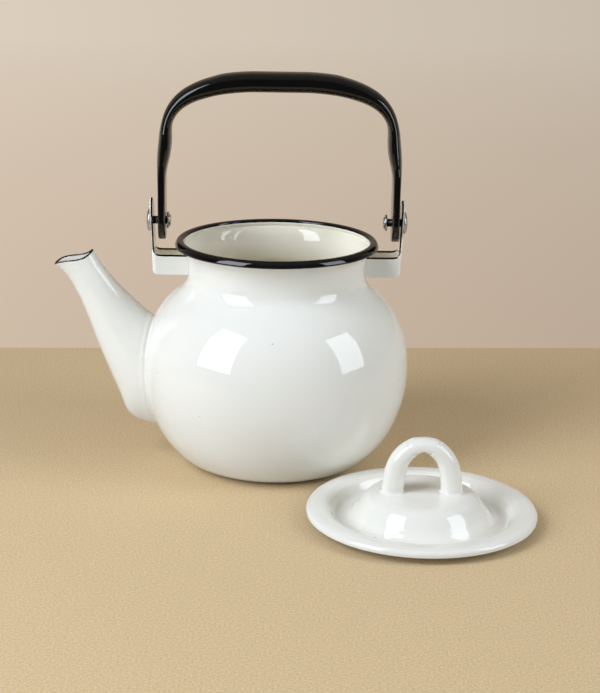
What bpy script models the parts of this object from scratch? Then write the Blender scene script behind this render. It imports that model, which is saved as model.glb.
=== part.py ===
"""Enamel tea kettle with a swinging bail handle and a loose lid that lies beside it on the table.

Metres, +Z up. The origin is the middle of the kettle's base, on the table. The spout points along -X,
the bail swings about an axis along X, and the lid lies towards +X and -Y.
"""

import math

import bmesh
import bpy

# Body: turned enamelled steel
BELLY_RADIUS = 0.085
BELLY_HEIGHT = 0.0636
BASE_RADIUS = 0.046
SHOULDER_RISE = 0.0636
NECK_RADIUS = 0.056
NECK_RISE = 0.0138
MOUTH_RADIUS = 0.0602
WALL = 0.0012
# Each pair is a share of the way up and a share of the way out or in, between two named places.
BOWL_SHARES = ((0.0, 0.0), (0.018, 0.16), (0.066, 0.336), (0.178, 0.536), (0.333, 0.723),
               (0.555, 0.887), (0.778, 0.977), (1.0, 1.0))
SHOULDER_SHARES = ((0.222, 0.054), (0.443, 0.210), (0.56, 0.353), (0.667, 0.541), (0.765, 0.765),
                   (0.85, 0.925), (0.92, 0.982), (1.0, 1.0))
NECK_SHARES = ((0.5, 0.36), (1.0, 1.0))

# Rim: the black rolled edge on the mouth
RIM_WIDTH = 0.0057
RIM_DEPTH = 0.0044
RIM_LAP = 0.0004
RIM_SQUARENESS = 3.0
RIM_SIDES = 10

# Spout: a flattened horn that narrows to a beak
SPOUT_REACH = 0.0559
SPOUT_HEIGHT = 0.1374
SPOUT_HALF_WIDTH = 0.025
SPOUT_WALL = 0.0012
SPOUT_FOOT_WIDTH = 0.0024
SPOUT_FOOT_DEPTH = 0.0018
LIP_DIP = 0.0033
LIP_BIAS_SHARE = 0.26
PORT_HALF_HEIGHT = 0.025
PORT_HALF_WIDTH = 0.017
PORT_HEIGHT = 0.057
# Outer edge reach and height, inner edge reach and height, half-width, beak, from the mouth to the root.
SPOUT_SHARES = ((1.0, 0.930, 0.560, 1.0, 0.35, -0.08), (0.862, 0.879, 0.492, 0.951, 0.36, -0.05),
                (0.739, 0.794, 0.401, 0.900, 0.40, 0.0), (0.626, 0.684, 0.286, 0.844, 0.47, 0.0),
                (0.521, 0.563, 0.161, 0.790, 0.57, 0.0), (0.408, 0.447, 0.027, 0.738, 0.70, 0.0),
                (0.288, 0.329, -0.098, 0.690, 0.84, 0.05), (0.168, 0.215, -0.233, 0.622, 0.93, 0.18),
                (-0.064, 0.166, -0.41, 0.546, 0.98, 0.28), (-0.34, 0.168, -0.555, 0.451, 0.98, 0.32))

# Bail: rolled black strip with a hollow grip and flat legs
BAIL_CLEARANCE = 0.0089
BAIL_RISE = 0.0873
BAIL_SHIFT = 0.0011
GRIP_DEPTH = 0.0124
GRIP_WIDTH = 0.020
LEG_THICKNESS = 0.0048
PADDLE_WIDTH = 0.024
PADDLE_CLEARANCE = 0.0083
BAIL_WALL = 0.0012
SEAM_WIDTH = 0.0045
GRIP_ROUNDNESS = 2.3
LEG_ROUNDNESS = 5.0
# Share of the half span, share of the rise, depth between leg and grip, width between grip and paddle.
BAIL_SHARES = ((0.0, 1.0, 1.0, 0.0), (0.12, 1.0, 1.0, 0.0), (0.231, 1.0, 1.0, 0.0), (0.353, 0.994, 1.0, 0.0),
               (0.448, 0.985, 0.99, 0.0), (0.55, 0.967, 0.91, 0.0), (0.652, 0.941, 0.855, -0.1),
               (0.751, 0.906, 0.75, -0.2), (0.822, 0.869, 0.63, -0.3), (0.883, 0.821, 0.487, -0.4),
               (0.927, 0.766, 0.368, -0.4), (0.954, 0.708, 0.303, -0.3), (0.967, 0.645, 0.368, -0.1),
               (0.971, 0.588, 0.44, 0.1), (0.977, 0.53, 0.47, 0.25), (0.986, 0.467, 0.42, 0.4),
               (0.996, 0.404, 0.27, 0.55), (1.0, 0.347, 0.12, 0.7), (1.0, 0.267, 0.02, 0.85),
               (1.0, 0.152, 0.0, 1.0), (1.0, 0.0, 0.0, 1.0))
HOLLOW_END_SHARE = 0.40
BORE_END_SHARE = 0.6
SEAM_END_SHARE = 0.3
PADDLE_END_SHARES = (0.45, 0.75, 0.93, 0.985)

# Brackets: pressed straps, U-shaped in plan, whose outer wall stands up as an ear
BRACKET_WIDTH = 0.020
BRACKET_DEPTH = 0.0130
BRACKET_SHEET = 0.0016
BRACKET_DROP = 0.0046
BRACKET_CORNER = 0.0024
BRACKET_HEEL = 0.0034
BRACKET_BEND = 0.0042
EAR_WIDTH = 0.0156
EAR_FOOT_SHARE = 0.3
EAR_CLEARANCE = 0.0015
EAR_RISE = 0.0143
EAR_LEAN = math.radians(2.3)

# Rivets and their inner washers
HEAD_RADIUS = 0.0070
HEAD_HEIGHT = 0.0026
HEAD_FOOT_SHARE = 0.2
SHANK_RADIUS = 0.0025
TAIL_RADIUS = 0.0038
TAIL_HEIGHT = 0.0009
TAIL_FLAT_SHARE = 0.6
WASHER_RADIUS = 0.0052
WASHER_THICKNESS = 0.0012
WASHER_PLAY = 0.0017
HOLE_CLEARANCE = 0.0003

# Lid: turned sheet with a broad flange, a recess and a low dome
LID_RIGHT = 0.0876
LID_FRONT = 0.1069
LID_RADIUS = 0.0684
LID_WALL = 0.0011
RECESS_RADIUS = 0.0482
FLANGE_RISE = 0.0090
DOME_RISE = 0.0163
FLANGE_SHARES = ((1.0, 0.56), (1.0, 0.71), (0.955, 0.88), (0.84, 0.97), (0.65, 1.0), (0.45, 0.96),
                 (0.31, 0.80), (0.221, 0.51), (0.15, 0.26), (0.0, 0.122))
DOME_SHARES = ((0.93, 0.045), (0.875, 0.14), (0.825, 0.27), (0.73, 0.577), (0.67, 0.745), (0.58, 0.88),
               (0.42, 0.96), (0.22, 0.991), (0.0, 1.0))

# Lid loop: rolled sheet bent into an arch, open along its inner side
LOOP_HALF_SPAN = 0.0172
LOOP_RISE = 0.0291
LOOP_DEPTH = 0.0101
LOOP_LEG_DEPTH = 0.0130
LOOP_WIDTH = 0.0130
LOOP_WALL = 0.0012
LOOP_SEAM = 0.0030
LOOP_ROUNDNESS = 2.2
# Share of the half span, share of the rise, depth between leg and crown, share of the width.
LOOP_SHARES = ((0.0, 1.0, 1.0, 1.0), (0.22, 0.985, 1.0, 1.0), (0.42, 0.935, 0.9, 1.0), (0.6, 0.85, 0.72, 1.0),
               (0.75, 0.735, 0.5, 1.0), (0.86, 0.6, 0.28, 1.0), (0.93, 0.455, 0.1, 1.0),
               (0.975, 0.31, 0.0, 1.0), (1.0, 0.17, 0.0, 1.03), (1.02, 0.04, 0.0, 1.05),
               (1.05, -0.07, 0.0, 1.1))
LOOP_HOLLOW_SHARE = 0.12

# Shared clearances and counts
GAP = 0.0003
OVERRUN = 0.004
WELD = 0.000001
SIDES = 48
SMALL_SIDES = 18
SPOUT_SIDES = 24
STRIP_SIDES = 16
BEND_STEPS = 5
SHARP_ANGLE = math.radians(35)


def clear_scene():
    """Removes every object, so that the script can be run again."""
    for obj in list(bpy.data.objects):
        bpy.data.objects.remove(obj, do_unlink=True)


def material(name, colour, roughness, metallic):
    """A Principled material with the piece's colour and finish."""
    made = bpy.data.materials.new(name)
    made.use_nodes = True
    shader = made.node_tree.nodes["Principled BSDF"]
    shader.inputs["Base Color"].default_value = (*colour, 1.0)
    shader.inputs["Roughness"].default_value = roughness
    shader.inputs["Metallic"].default_value = metallic
    return made


def finish(name, bm, finish_material):
    """Turns a bmesh into an object. Without a material it is a hidden cutter or guide."""
    bmesh.ops.recalc_face_normals(bm, faces=bm.faces)
    if bm.calc_volume(signed=True) < 0.0:
        bmesh.ops.reverse_faces(bm, faces=bm.faces)
    mesh = bpy.data.meshes.new(name)
    bm.to_mesh(mesh)
    bm.free()
    obj = bpy.data.objects.new(name, mesh)
    bpy.context.scene.collection.objects.link(obj)
    if finish_material is None:
        obj.hide_render = True
        obj.display_type = "WIRE"
    else:
        mesh.materials.append(finish_material)
        mesh.shade_smooth()
        mesh.set_sharp_from_angle(angle=SHARP_ANGLE)
    return obj


def combine(obj, operation, other, solver="EXACT"):
    """Adds a Boolean of another object."""
    modifier = obj.modifiers.new(operation.lower() + "_" + other.name, "BOOLEAN")
    modifier.operation = operation
    modifier.solver = solver
    modifier.object = other


def turned(name, outline, finish_material, sides=SIDES, along="Z"):
    """Spins an outline of (radius, height) points. It starts and ends on the axis, or closes on itself."""
    bm = bmesh.new()
    verts = [bm.verts.new((radius, 0.0, height)) for radius, height in outline]
    edges = [bm.edges.new(pair) for pair in zip(verts, verts[1:])]
    if outline[0][0] > 0.0:
        edges.append(bm.edges.new((verts[-1], verts[0])))
    bmesh.ops.spin(bm, geom=verts + edges, axis=(0.0, 0.0, 1.0), cent=(0.0, 0.0, 0.0),
                   angle=math.tau, steps=sides, use_merge=True)
    bmesh.ops.remove_doubles(bm, verts=bm.verts, dist=WELD)
    if along != "Z":
        for vert in bm.verts:
            x, y, z = vert.co
            vert.co = (z, y, x) if along == "X" else (-z, y, x)
    return finish(name, bm, finish_material)


def lofted(name, rings, finish_material):
    """Joins rings of points into a skin and closes each end with a fan."""
    bm = bmesh.new()
    rows = [[bm.verts.new(point) for point in ring] for ring in rings]
    for low, high in zip(rows, rows[1:]):
        for i in range(len(low)):
            j = (i + 1) % len(low)
            bm.faces.new((low[i], low[j], high[j], high[i]))
    for row in (rows[0], rows[-1]):
        middle = bm.verts.new([sum(vert.co[axis] for vert in row) / len(row) for axis in range(3)])
        for i in range(len(row)):
            bm.faces.new((row[i], row[(i + 1) % len(row)], middle))
    return finish(name, bm, finish_material)


def prism(name, outline, place, finish_material=None):
    """Extrudes a flat outline. The place function gives a point for each outline point at either end."""
    bm = bmesh.new()
    ends = [[bm.verts.new(place(a, b, end)) for a, b in outline] for end in (0, 1)]
    for end in ends:
        bm.faces.new(end)
    for i in range(len(outline)):
        j = (i + 1) % len(outline)
        bm.faces.new((ends[0][i], ends[0][j], ends[1][j], ends[1][i]))
    return finish(name, bm, finish_material)


def arc(centre, radius, start, end, steps):
    """Points of an arc from the start angle to the end angle, both in radians."""
    angles = [start + (end - start) * i / steps for i in range(steps + 1)]
    return [(centre[0] + radius * math.cos(a), centre[1] + radius * math.sin(a)) for a in angles]


def offset(outline, distance):
    """Moves an open outline to its left by a distance. Points on the axis stay there."""
    moved = []
    for i, (radius, height) in enumerate(outline):
        before = outline[max(i - 1, 0)]
        after = outline[min(i + 1, len(outline) - 1)]
        sides = []
        for a, b in ((before, (radius, height)), ((radius, height), after)):
            run, rise = b[0] - a[0], b[1] - a[1]
            length = math.hypot(run, rise)
            if length > 0.0:
                sides.append((-rise / length, run / length))
        across = sum(side[0] for side in sides) / len(sides)
        up = sum(side[1] for side in sides) / len(sides)
        square = across * across + up * up
        moved.append((radius + distance * across / square, height + distance * up / square))
    return [(0.0 if old[0] == 0.0 else new[0], new[1]) for old, new in zip(outline, moved)]


def squared(angle, roundness):
    """Cosine and sine of a rounded square. A roundness of two gives a circle."""
    c, s = math.cos(angle), math.sin(angle)
    size = (abs(c) ** roundness + abs(s) ** roundness) ** (1.0 / roundness)
    return c / size, s / size


def blend(low, high, share):
    return low + (high - low) * share


# Places that follow from the sizes

MOUTH_HEIGHT = BELLY_HEIGHT + SHOULDER_RISE + NECK_RISE
RIM_INNER = MOUTH_RADIUS - WALL - RIM_LAP
RIM_MIDDLE = RIM_INNER + RIM_WIDTH / 2
RIM_OUTER = RIM_INNER + RIM_WIDTH
BRACKET_TOP = MOUTH_HEIGHT - BRACKET_DROP
PIVOT_HEIGHT = BRACKET_TOP + PADDLE_CLEARANCE + PADDLE_WIDTH / 2
BAIL_HALF_SPAN = RIM_OUTER + BAIL_CLEARANCE


# Body


def body_outline():
    """The outside of the body from the base's middle to the mouth."""
    neck_height = BELLY_HEIGHT + SHOULDER_RISE
    points = [(0.0, 0.0)]
    points += [(blend(BASE_RADIUS, BELLY_RADIUS, out), BELLY_HEIGHT * up) for up, out in BOWL_SHARES]
    points += [(blend(BELLY_RADIUS, NECK_RADIUS, inward), blend(BELLY_HEIGHT, neck_height, up))
               for up, inward in SHOULDER_SHARES]
    points += [(blend(NECK_RADIUS, MOUTH_RADIUS, out), blend(neck_height, MOUTH_HEIGHT, up))
               for up, out in NECK_SHARES]
    return points


def envelope(name, distance):
    """A solid of the body's outside, grown by a distance, that cuts what is seated on the body."""
    grown = offset(body_outline(), -distance)
    return turned(name, grown + [(0.0, grown[-1][1])], None)


def make_body(enamel):
    outside = body_outline()
    inside = offset(outside, WALL)
    inside[-1] = (outside[-1][0] - WALL, outside[-1][1])
    body = turned("kettle_body", outside + inside[::-1], enamel)
    ring = []
    for i in range(SPOUT_SIDES):
        angle = math.tau * i / SPOUT_SIDES
        ring.append((PORT_HALF_WIDTH * math.cos(angle), PORT_HEIGHT + PORT_HALF_HEIGHT * math.sin(angle)))
    port = prism("cut_port", ring, lambda y, z, end: (-BELLY_RADIUS - OVERRUN if end else -BASE_RADIUS, y, z))
    combine(body, "DIFFERENCE", port)
    return body


def make_rim(black):
    """The rolled edge, seated over the top of the neck."""
    reach = abs(MOUTH_RADIUS - RIM_MIDDLE) / (RIM_WIDTH / 2)
    droop = RIM_DEPTH / 2 * (1.0 - reach**RIM_SQUARENESS) ** (1.0 / RIM_SQUARENESS)
    middle = MOUTH_HEIGHT + GAP + droop
    outline = []
    for i in range(RIM_SIDES):
        c, s = squared(math.tau * (i + 0.5) / RIM_SIDES, RIM_SQUARENESS)
        outline.append((RIM_MIDDLE + RIM_WIDTH / 2 * c, middle + RIM_DEPTH / 2 * s))
    return turned("rim_bead", outline, black)


# Spout


def spout_rings(grow, past_mouth):
    """Rings of the spout from past its mouth to its root inside the body, grown by a length."""
    stations = []
    for reach_out, up_out, reach_in, up_in, wide, beak in SPOUT_SHARES:
        outer = (-BELLY_RADIUS - SPOUT_REACH * reach_out, SPOUT_HEIGHT * up_out)
        inner = (-BELLY_RADIUS - SPOUT_REACH * reach_in, SPOUT_HEIGHT * up_in)
        stations.append((outer, inner, SPOUT_HALF_WIDTH * wide, beak))
    if past_mouth > 0.0:
        (outer, inner, wide, beak), (outer_next, inner_next, _, _) = stations[:2]
        run = math.hypot(outer[0] - outer_next[0], outer[1] - outer_next[1])
        share = past_mouth / run
        further = [(a[0] + (a[0] - b[0]) * share, a[1] + (a[1] - b[1]) * share)
                   for a, b in ((outer, outer_next), (inner, inner_next))]
        stations.insert(0, (further[0], further[1], wide, beak))
    rings = []
    for number, (outer, inner, wide, beak) in enumerate(stations):
        middle = ((outer[0] + inner[0]) / 2, (outer[1] + inner[1]) / 2)
        across = (inner[0] - middle[0], inner[1] - middle[1])
        half = math.hypot(*across)
        across = (across[0] / half, across[1] / half)
        along = (-across[1], across[0])
        dip = LIP_DIP if number == 0 and past_mouth == 0.0 else 0.0
        ring = []
        for i in range(SPOUT_SIDES):
            angle = math.tau * i / SPOUT_SIDES
            c, s = math.cos(angle), math.sin(angle)
            side = (wide * (1.0 + beak * c) + grow) * s
            lower = dip * (LIP_BIAS_SHARE + c) * s * s
            ring.append((middle[0] + (half + grow) * c * across[0] - lower * along[0], side,
                         middle[1] + (half + grow) * c * across[1] - lower * along[1]))
        rings.append(ring)
    return rings


def make_spout(enamel):
    spout = lofted("spout", spout_rings(0.0, 0.0), enamel)
    foot = lofted("form_spout_foot", spout_rings(SPOUT_FOOT_WIDTH, 0.0), None)
    combine(foot, "INTERSECT", envelope("form_foot_depth", GAP + SPOUT_FOOT_DEPTH))
    combine(spout, "UNION", foot)
    combine(spout, "DIFFERENCE", lofted("cut_spout_bore", spout_rings(-SPOUT_WALL, OVERRUN), None))
    combine(spout, "DIFFERENCE", envelope("cut_spout_seat", GAP))
    return spout


# Bail and lid loop, both strips swept along an arch in the XZ plane


def mirrored(half):
    """A table for the whole arch from one for its right half, whose first row is the crown."""
    return [(-row[0], *row[1:]) for row in half[:0:-1]] + list(half)


def stretch(stations, chosen, end_share):
    """The chosen run of stations, with each end moved a share of the way to the next one."""
    first = chosen.index(True)
    last = len(chosen) - 1 - chosen[::-1].index(True)

    def towards(a, b):
        return tuple(blend(p, q, end_share) for p, q in zip(stations[a], stations[b]))

    return [towards(first, first - 1), *stations[first:last + 1], towards(last, last + 1)]


def arch_rings(stations, roundness_of):
    """Rings across an arch. A station is x, z, half-depth and half-width."""
    rings = []
    for i, (x, z, deep, wide) in enumerate(stations):
        before, after = stations[max(i - 1, 0)], stations[min(i + 1, len(stations) - 1)]
        run, rise = after[0] - before[0], after[1] - before[1]
        length = math.hypot(run, rise)
        outward = (-rise / length, run / length)
        ring = []
        for k in range(STRIP_SIDES):
            c, s = squared(math.tau * (k + 0.5) / STRIP_SIDES, roundness_of(i))
            ring.append((x + deep * c * outward[0], wide * s, z + deep * c * outward[1]))
        rings.append(ring)
    return rings


def seam_rings(stations, reach, half_width):
    """Rings of the slot that runs from the middle of a strip out through its inner side."""
    rings = []
    for i, (x, z, deep, _) in enumerate(stations):
        before, after = stations[max(i - 1, 0)], stations[min(i + 1, len(stations) - 1)]
        run, rise = after[0] - before[0], after[1] - before[1]
        length = math.hypot(run, rise)
        inward = (rise / length, -run / length)
        ring = []
        for far, side in ((0.0, -1), (0.0, 1), (deep + reach, 1), (deep + reach, -1)):
            ring.append((x + far * inward[0], side * half_width, z + far * inward[1]))
        rings.append(ring)
    return rings


def make_bail(black):
    """Origin on the pivot axis, midway between the legs."""
    table = mirrored(BAIL_SHARES)
    stations = [(BAIL_HALF_SPAN * x, BAIL_RISE * z, blend(LEG_THICKNESS, GRIP_DEPTH, deep) / 2,
                 blend(GRIP_WIDTH, PADDLE_WIDTH, wide) / 2) for x, z, deep, wide in table]
    radius = PADDLE_WIDTH / 2
    ends = [(BAIL_HALF_SPAN, -radius * share, LEG_THICKNESS / 2, radius * math.sqrt(1.0 - share * share))
            for share in PADDLE_END_SHARES]
    whole = [(-x, z, deep, wide) for x, z, deep, wide in ends[::-1]] + stations + ends
    first = len(ends)

    def roundness(i):
        share = abs(table[min(max(i - first, 0), len(table) - 1)][1])
        return blend(LEG_ROUNDNESS, GRIP_ROUNDNESS, min(share / HOLLOW_END_SHARE, 1.0))

    bail = lofted("bail", arch_rings(whole, roundness), black)
    hollow = [shares[1] > HOLLOW_END_SHARE for shares in table]
    bore = [(x, z, deep - BAIL_WALL, wide - BAIL_WALL)
            for x, z, deep, wide in stretch(stations, hollow, BORE_END_SHARE)]
    slot = stretch(stations, hollow, SEAM_END_SHARE)
    cutters = [lofted("cut_bail_bore", arch_rings(bore, lambda i: GRIP_ROUNDNESS), None),
               lofted("cut_bail_seam", seam_rings(slot, OVERRUN, SEAM_WIDTH / 2), None)]
    hole = SHANK_RADIUS + HOLE_CLEARANCE
    reach = BAIL_HALF_SPAN + LEG_THICKNESS
    cutters.append(turned("cut_bail_hole", [(0.0, -reach), (hole, -reach), (hole, reach), (0.0, reach)],
                          None, SMALL_SIDES, "X"))
    for cutter in cutters:
        cutter.parent = bail
        combine(bail, "DIFFERENCE", cutter)
    bail.location = (BAIL_SHIFT, 0.0, PIVOT_HEIGHT)
    return bail


# Brackets, rivets and washers


def ear_inside(height):
    """How far out the ear's inner face stands at a height: it leans out and clears the bail's paddle."""
    foot = PIVOT_HEIGHT - PADDLE_WIDTH / 2
    return BAIL_HALF_SPAN + LEG_THICKNESS / 2 + EAR_CLEARANCE + math.tan(EAR_LEAN) * (height - foot)


def make_bracket(name, side, enamel, seat):
    """A U-shaped strap from the neck out to the ear, which the rivet passes through."""
    bottom = BRACKET_TOP - BRACKET_DEPTH
    top = PIVOT_HEIGHT + EAR_RISE
    half = BRACKET_WIDTH / 2
    inner_end = NECK_RADIUS - half
    face = BRACKET_SHEET + ear_inside(bottom)

    def leaning(x, y, z):
        return side * (x + math.tan(EAR_LEAN) * (z - bottom)), y, z

    def plan(grow, end):
        corner = BRACKET_CORNER + grow
        out, wide = face + grow, half + grow
        return ([(end, -wide)] + arc((out - corner, corner - wide), corner, -math.pi / 2, 0.0, BEND_STEPS)
                + arc((out - corner, wide - corner), corner, 0.0, math.pi / 2, BEND_STEPS) + [(end, wide)])

    low, high = bottom - OVERRUN, top + OVERRUN
    strap = prism(name, plan(0.0, inner_end), lambda x, y, end: leaning(x, y, high if end else low), enamel)
    hollow = prism("cut_" + name + "_inside", plan(-BRACKET_SHEET, inner_end - OVERRUN),
                   lambda x, y, end: leaning(x, y, high + OVERRUN if end else low - OVERRUN))
    outer = face + OVERRUN
    ear = face - BRACKET_CORNER
    bend = BRACKET_BEND
    heel = arc((face - BRACKET_HEEL, bottom + BRACKET_HEEL), BRACKET_HEEL, -math.pi / 2, 0.0, BEND_STEPS)
    profile = ([(inner_end - OVERRUN, bottom)] + heel[:-1]
               + [(outer, bottom + BRACKET_HEEL), (outer, top + OVERRUN / 2), (ear, top + OVERRUN / 2)]
               + arc((ear - bend, BRACKET_TOP + bend), bend, 0.0, -math.pi / 2, BEND_STEPS)
               + [(inner_end - OVERRUN, BRACKET_TOP)])
    sides = prism("form_" + name + "_side", profile,
                  lambda x, z, end: leaning(x, (half + OVERRUN) * (1 if end else -1), z))
    wide = half + OVERRUN
    ear_half = EAR_WIDTH / 2
    shoulder = BRACKET_TOP + bend * EAR_FOOT_SHARE
    front = ([(-wide, low + OVERRUN / 2), (wide, low + OVERRUN / 2), (wide, shoulder), (ear_half, shoulder)]
             + arc((0.0, top - ear_half), ear_half, 0.0, math.pi, 3 * BEND_STEPS)
             + [(-ear_half, shoulder), (-wide, shoulder)])
    shape = prism("form_" + name + "_front", front,
                  lambda y, z, end: (side * (outer + OVERRUN if end else inner_end - 2 * OVERRUN), y, z))
    hole = SHANK_RADIUS + HOLE_CLEARANCE
    reach = BAIL_HALF_SPAN + LEG_THICKNESS + BRACKET_SHEET + OVERRUN
    bore = turned("cut_" + name + "_hole", [(0.0, -reach), (hole, -reach), (hole, reach), (0.0, reach)],
                  None, SMALL_SIDES, "X")
    bore.location = (0.0, 0.0, PIVOT_HEIGHT)
    for operation, other in (("INTERSECT", sides), ("INTERSECT", shape), ("DIFFERENCE", hollow),
                             ("DIFFERENCE", seat), ("DIFFERENCE", bore)):
        combine(strap, operation, other, "MANIFOLD")
    return strap


def make_rivet(name, side, steel):
    """Domed head outside the ear, shank through ear, bail and washer, and a peened tail."""
    seat = ear_inside(PIVOT_HEIGHT + HEAD_RADIUS) + BRACKET_SHEET + GAP
    tail = BAIL_HALF_SPAN - LEG_THICKNESS / 2 - WASHER_PLAY - WASHER_THICKNESS - GAP
    angles = [math.pi / 2 * i / BEND_STEPS for i in range(BEND_STEPS)]
    head = [(HEAD_RADIUS * math.cos(a), seat + HEAD_HEIGHT * blend(HEAD_FOOT_SHARE, 1.0, math.sin(a)))
            for a in angles]
    flat = TAIL_RADIUS * TAIL_FLAT_SHARE
    outline = [(0.0, tail - TAIL_HEIGHT), (flat, tail - TAIL_HEIGHT), (TAIL_RADIUS, tail),
               (SHANK_RADIUS, tail), (SHANK_RADIUS, seat), (HEAD_RADIUS, seat)]
    outline += head + [(0.0, seat + HEAD_HEIGHT)]
    rivet = turned(name, outline, steel, SMALL_SIDES, "X" if side > 0 else "-X")
    rivet.location = (0.0, 0.0, PIVOT_HEIGHT)
    return rivet


def make_washer(name, side, steel):
    """Thin ring between the bail's leg and the rivet's tail."""
    outer_face = BAIL_HALF_SPAN - LEG_THICKNESS / 2 - WASHER_PLAY
    inner_face = outer_face - WASHER_THICKNESS
    hole = SHANK_RADIUS + HOLE_CLEARANCE
    outline = [(hole, inner_face), (WASHER_RADIUS, inner_face), (WASHER_RADIUS, outer_face),
               (hole, outer_face)]
    washer = turned(name, outline, steel, SMALL_SIDES, "X" if side > 0 else "-X")
    washer.location = (0.0, 0.0, PIVOT_HEIGHT)
    return washer


# Lid and its loop


def lid_outlines():
    """Upper and lower outline of the lid, from the flange's edge to the axis, standing on the table."""
    upper = [(blend(RECESS_RADIUS, LID_RADIUS, out), FLANGE_RISE * up) for out, up in FLANGE_SHARES]
    floor = upper[-1][1]
    upper += [(RECESS_RADIUS * out, blend(floor, floor + DOME_RISE, up)) for out, up in DOME_SHARES]
    lower = offset(upper, LID_WALL)
    lower[0] = (lower[0][0], upper[0][1])
    rest = min(height for _, height in lower)
    return [(r, z - rest) for r, z in upper], [(r, z - rest) for r, z in lower]


def make_lid(enamel, carrier):
    upper, lower = lid_outlines()
    lid = turned("lid_shell", upper[::-1] + lower, enamel)
    lid.parent = carrier
    crown = upper[-1][1]
    table = mirrored(LOOP_SHARES)
    stations = [(LOOP_HALF_SPAN * x, crown + LOOP_RISE * z, blend(LOOP_LEG_DEPTH, LOOP_DEPTH, deep) / 2,
                 LOOP_WIDTH * wide / 2) for x, z, deep, wide in table]
    loop = lofted("lid_loop", arch_rings(stations, lambda i: LOOP_ROUNDNESS), enamel)
    hollow = [shares[1] > LOOP_HOLLOW_SHARE for shares in table]
    bore = [(x, z, deep - LOOP_WALL, wide - LOOP_WALL)
            for x, z, deep, wide in stretch(stations, hollow, BORE_END_SHARE)]
    slot = stretch(stations, hollow, SEAM_END_SHARE)
    seat = offset(upper[::-1], GAP)
    cutters = [lofted("cut_loop_bore", arch_rings(bore, lambda i: LOOP_ROUNDNESS), None),
               lofted("cut_loop_seam", seam_rings(slot, OVERRUN, LOOP_SEAM / 2), None),
               turned("cut_loop_seat", seat + [(seat[-1][0], -OVERRUN), (0.0, -OVERRUN)], None)]
    for cutter in cutters:
        cutter.parent = carrier
        combine(loop, "DIFFERENCE", cutter, "MANIFOLD")
    loop.parent = carrier
    return lid, loop


def main():
    clear_scene()
    enamel = material("cream_enamel", (0.86, 0.83, 0.76), 0.12, 0.0)
    black = material("black_enamel", (0.008, 0.008, 0.009), 0.12, 0.0)
    steel = material("plated_steel", (0.62, 0.61, 0.60), 0.30, 1.0)
    make_body(enamel)
    make_rim(black)
    make_spout(enamel)
    seat = envelope("cut_bracket_seat", GAP)
    for word, side in (("left", -1), ("right", 1)):
        make_bracket(word + "_bracket", side, enamel, seat)
        make_rivet(word + "_rivet", side, steel)
        make_washer(word + "_washer", side, steel)
    make_bail(black)
    carrier = bpy.data.objects.new("lid_carrier", None)
    bpy.context.scene.collection.objects.link(carrier)
    carrier.location = (LID_RIGHT, -LID_FRONT, 0.0)
    make_lid(enamel, carrier)


main()
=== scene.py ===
"""Enamel tea kettle: fine surfaces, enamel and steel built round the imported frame.

Metres, +Z up. The kettle stands on the origin, its spout points along -X, the bail swings about an axis along
X, and the loose lid lies towards +X and -Y.
"""

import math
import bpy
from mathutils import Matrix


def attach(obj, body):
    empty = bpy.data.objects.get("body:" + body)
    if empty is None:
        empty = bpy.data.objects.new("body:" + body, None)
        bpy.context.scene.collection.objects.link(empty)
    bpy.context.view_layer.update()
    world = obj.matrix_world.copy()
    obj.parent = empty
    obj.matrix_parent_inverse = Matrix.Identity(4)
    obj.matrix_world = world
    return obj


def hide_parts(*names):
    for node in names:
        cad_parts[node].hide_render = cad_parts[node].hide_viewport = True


bl_info = {
    "name": "Enamel Tea Kettle",
    "version": (1, 0, 0),
    "blender": (4, 5, 0),
    "location": "3D View > Sidebar > Kettle",
    "description": "Builds an enamelled tea kettle with a spout, a swinging bail and a loose lid",
    "category": "Add Mesh",
}

import bpy
import numpy as np
from bpy.props import FloatProperty, FloatVectorProperty, PointerProperty
from mathutils import Matrix

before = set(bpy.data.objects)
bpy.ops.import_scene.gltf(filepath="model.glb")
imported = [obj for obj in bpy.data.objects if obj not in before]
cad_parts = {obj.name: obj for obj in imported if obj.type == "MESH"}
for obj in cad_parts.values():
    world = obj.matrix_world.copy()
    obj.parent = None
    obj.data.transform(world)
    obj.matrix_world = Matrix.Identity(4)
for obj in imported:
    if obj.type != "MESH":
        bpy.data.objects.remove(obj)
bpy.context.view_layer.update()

# Columns round the large turned pieces and round a rivet or washer
LARGE_ROUND = 240
SMALL_ROUND = 64

# How far the cut edge of a seated piece dips into what it stands on, and the radius left at a solid's ends
SUNK = 0.0002
POINT = 0.0001


# Share tables: how each outline runs between the sizes in the property groups. A row of the bowl or neck says
# how far up and how far out, one of the shoulder how far up and how far in, one of the flange or dome how far
# out and how far up. The docstrings of the functions that use them name the columns of the others.

BOWL_SHARES = ((0.0, 0.0), (0.018, 0.16), (0.066, 0.336), (0.178, 0.536), (0.333, 0.723),
               (0.555, 0.887), (0.778, 0.977), (1.0, 1.0))
SHOULDER_SHARES = ((0.222, 0.054), (0.443, 0.210), (0.56, 0.353), (0.667, 0.541), (0.765, 0.765),
                   (0.84, 0.925), (0.886, 0.975), (0.93, 0.993), (1.0, 1.0))
NECK_SHARES = ((0.42, 0.16), (0.72, 0.42), (0.89, 0.72), (1.0, 1.0))
RIM_SHARES = ((-0.93, -0.64), (-1.0, -0.1), (-0.95, 0.5), (-0.76, 0.85), (-0.38, 0.99), (0.05, 1.0),
              (0.42, 0.8), (0.68, 0.45), (0.9, -0.06), (1.0, -0.5), (0.92, -0.8), (0.62, -0.93),
              (0.0, -0.96), (-0.66, -0.92))
LIP_SHARES = ((0.8, 0.66), (0.1, 0.62), (-0.09, 0.54), (-0.1, 0.42), (-0.07, 0.23), (0.2, 0.03))
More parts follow.
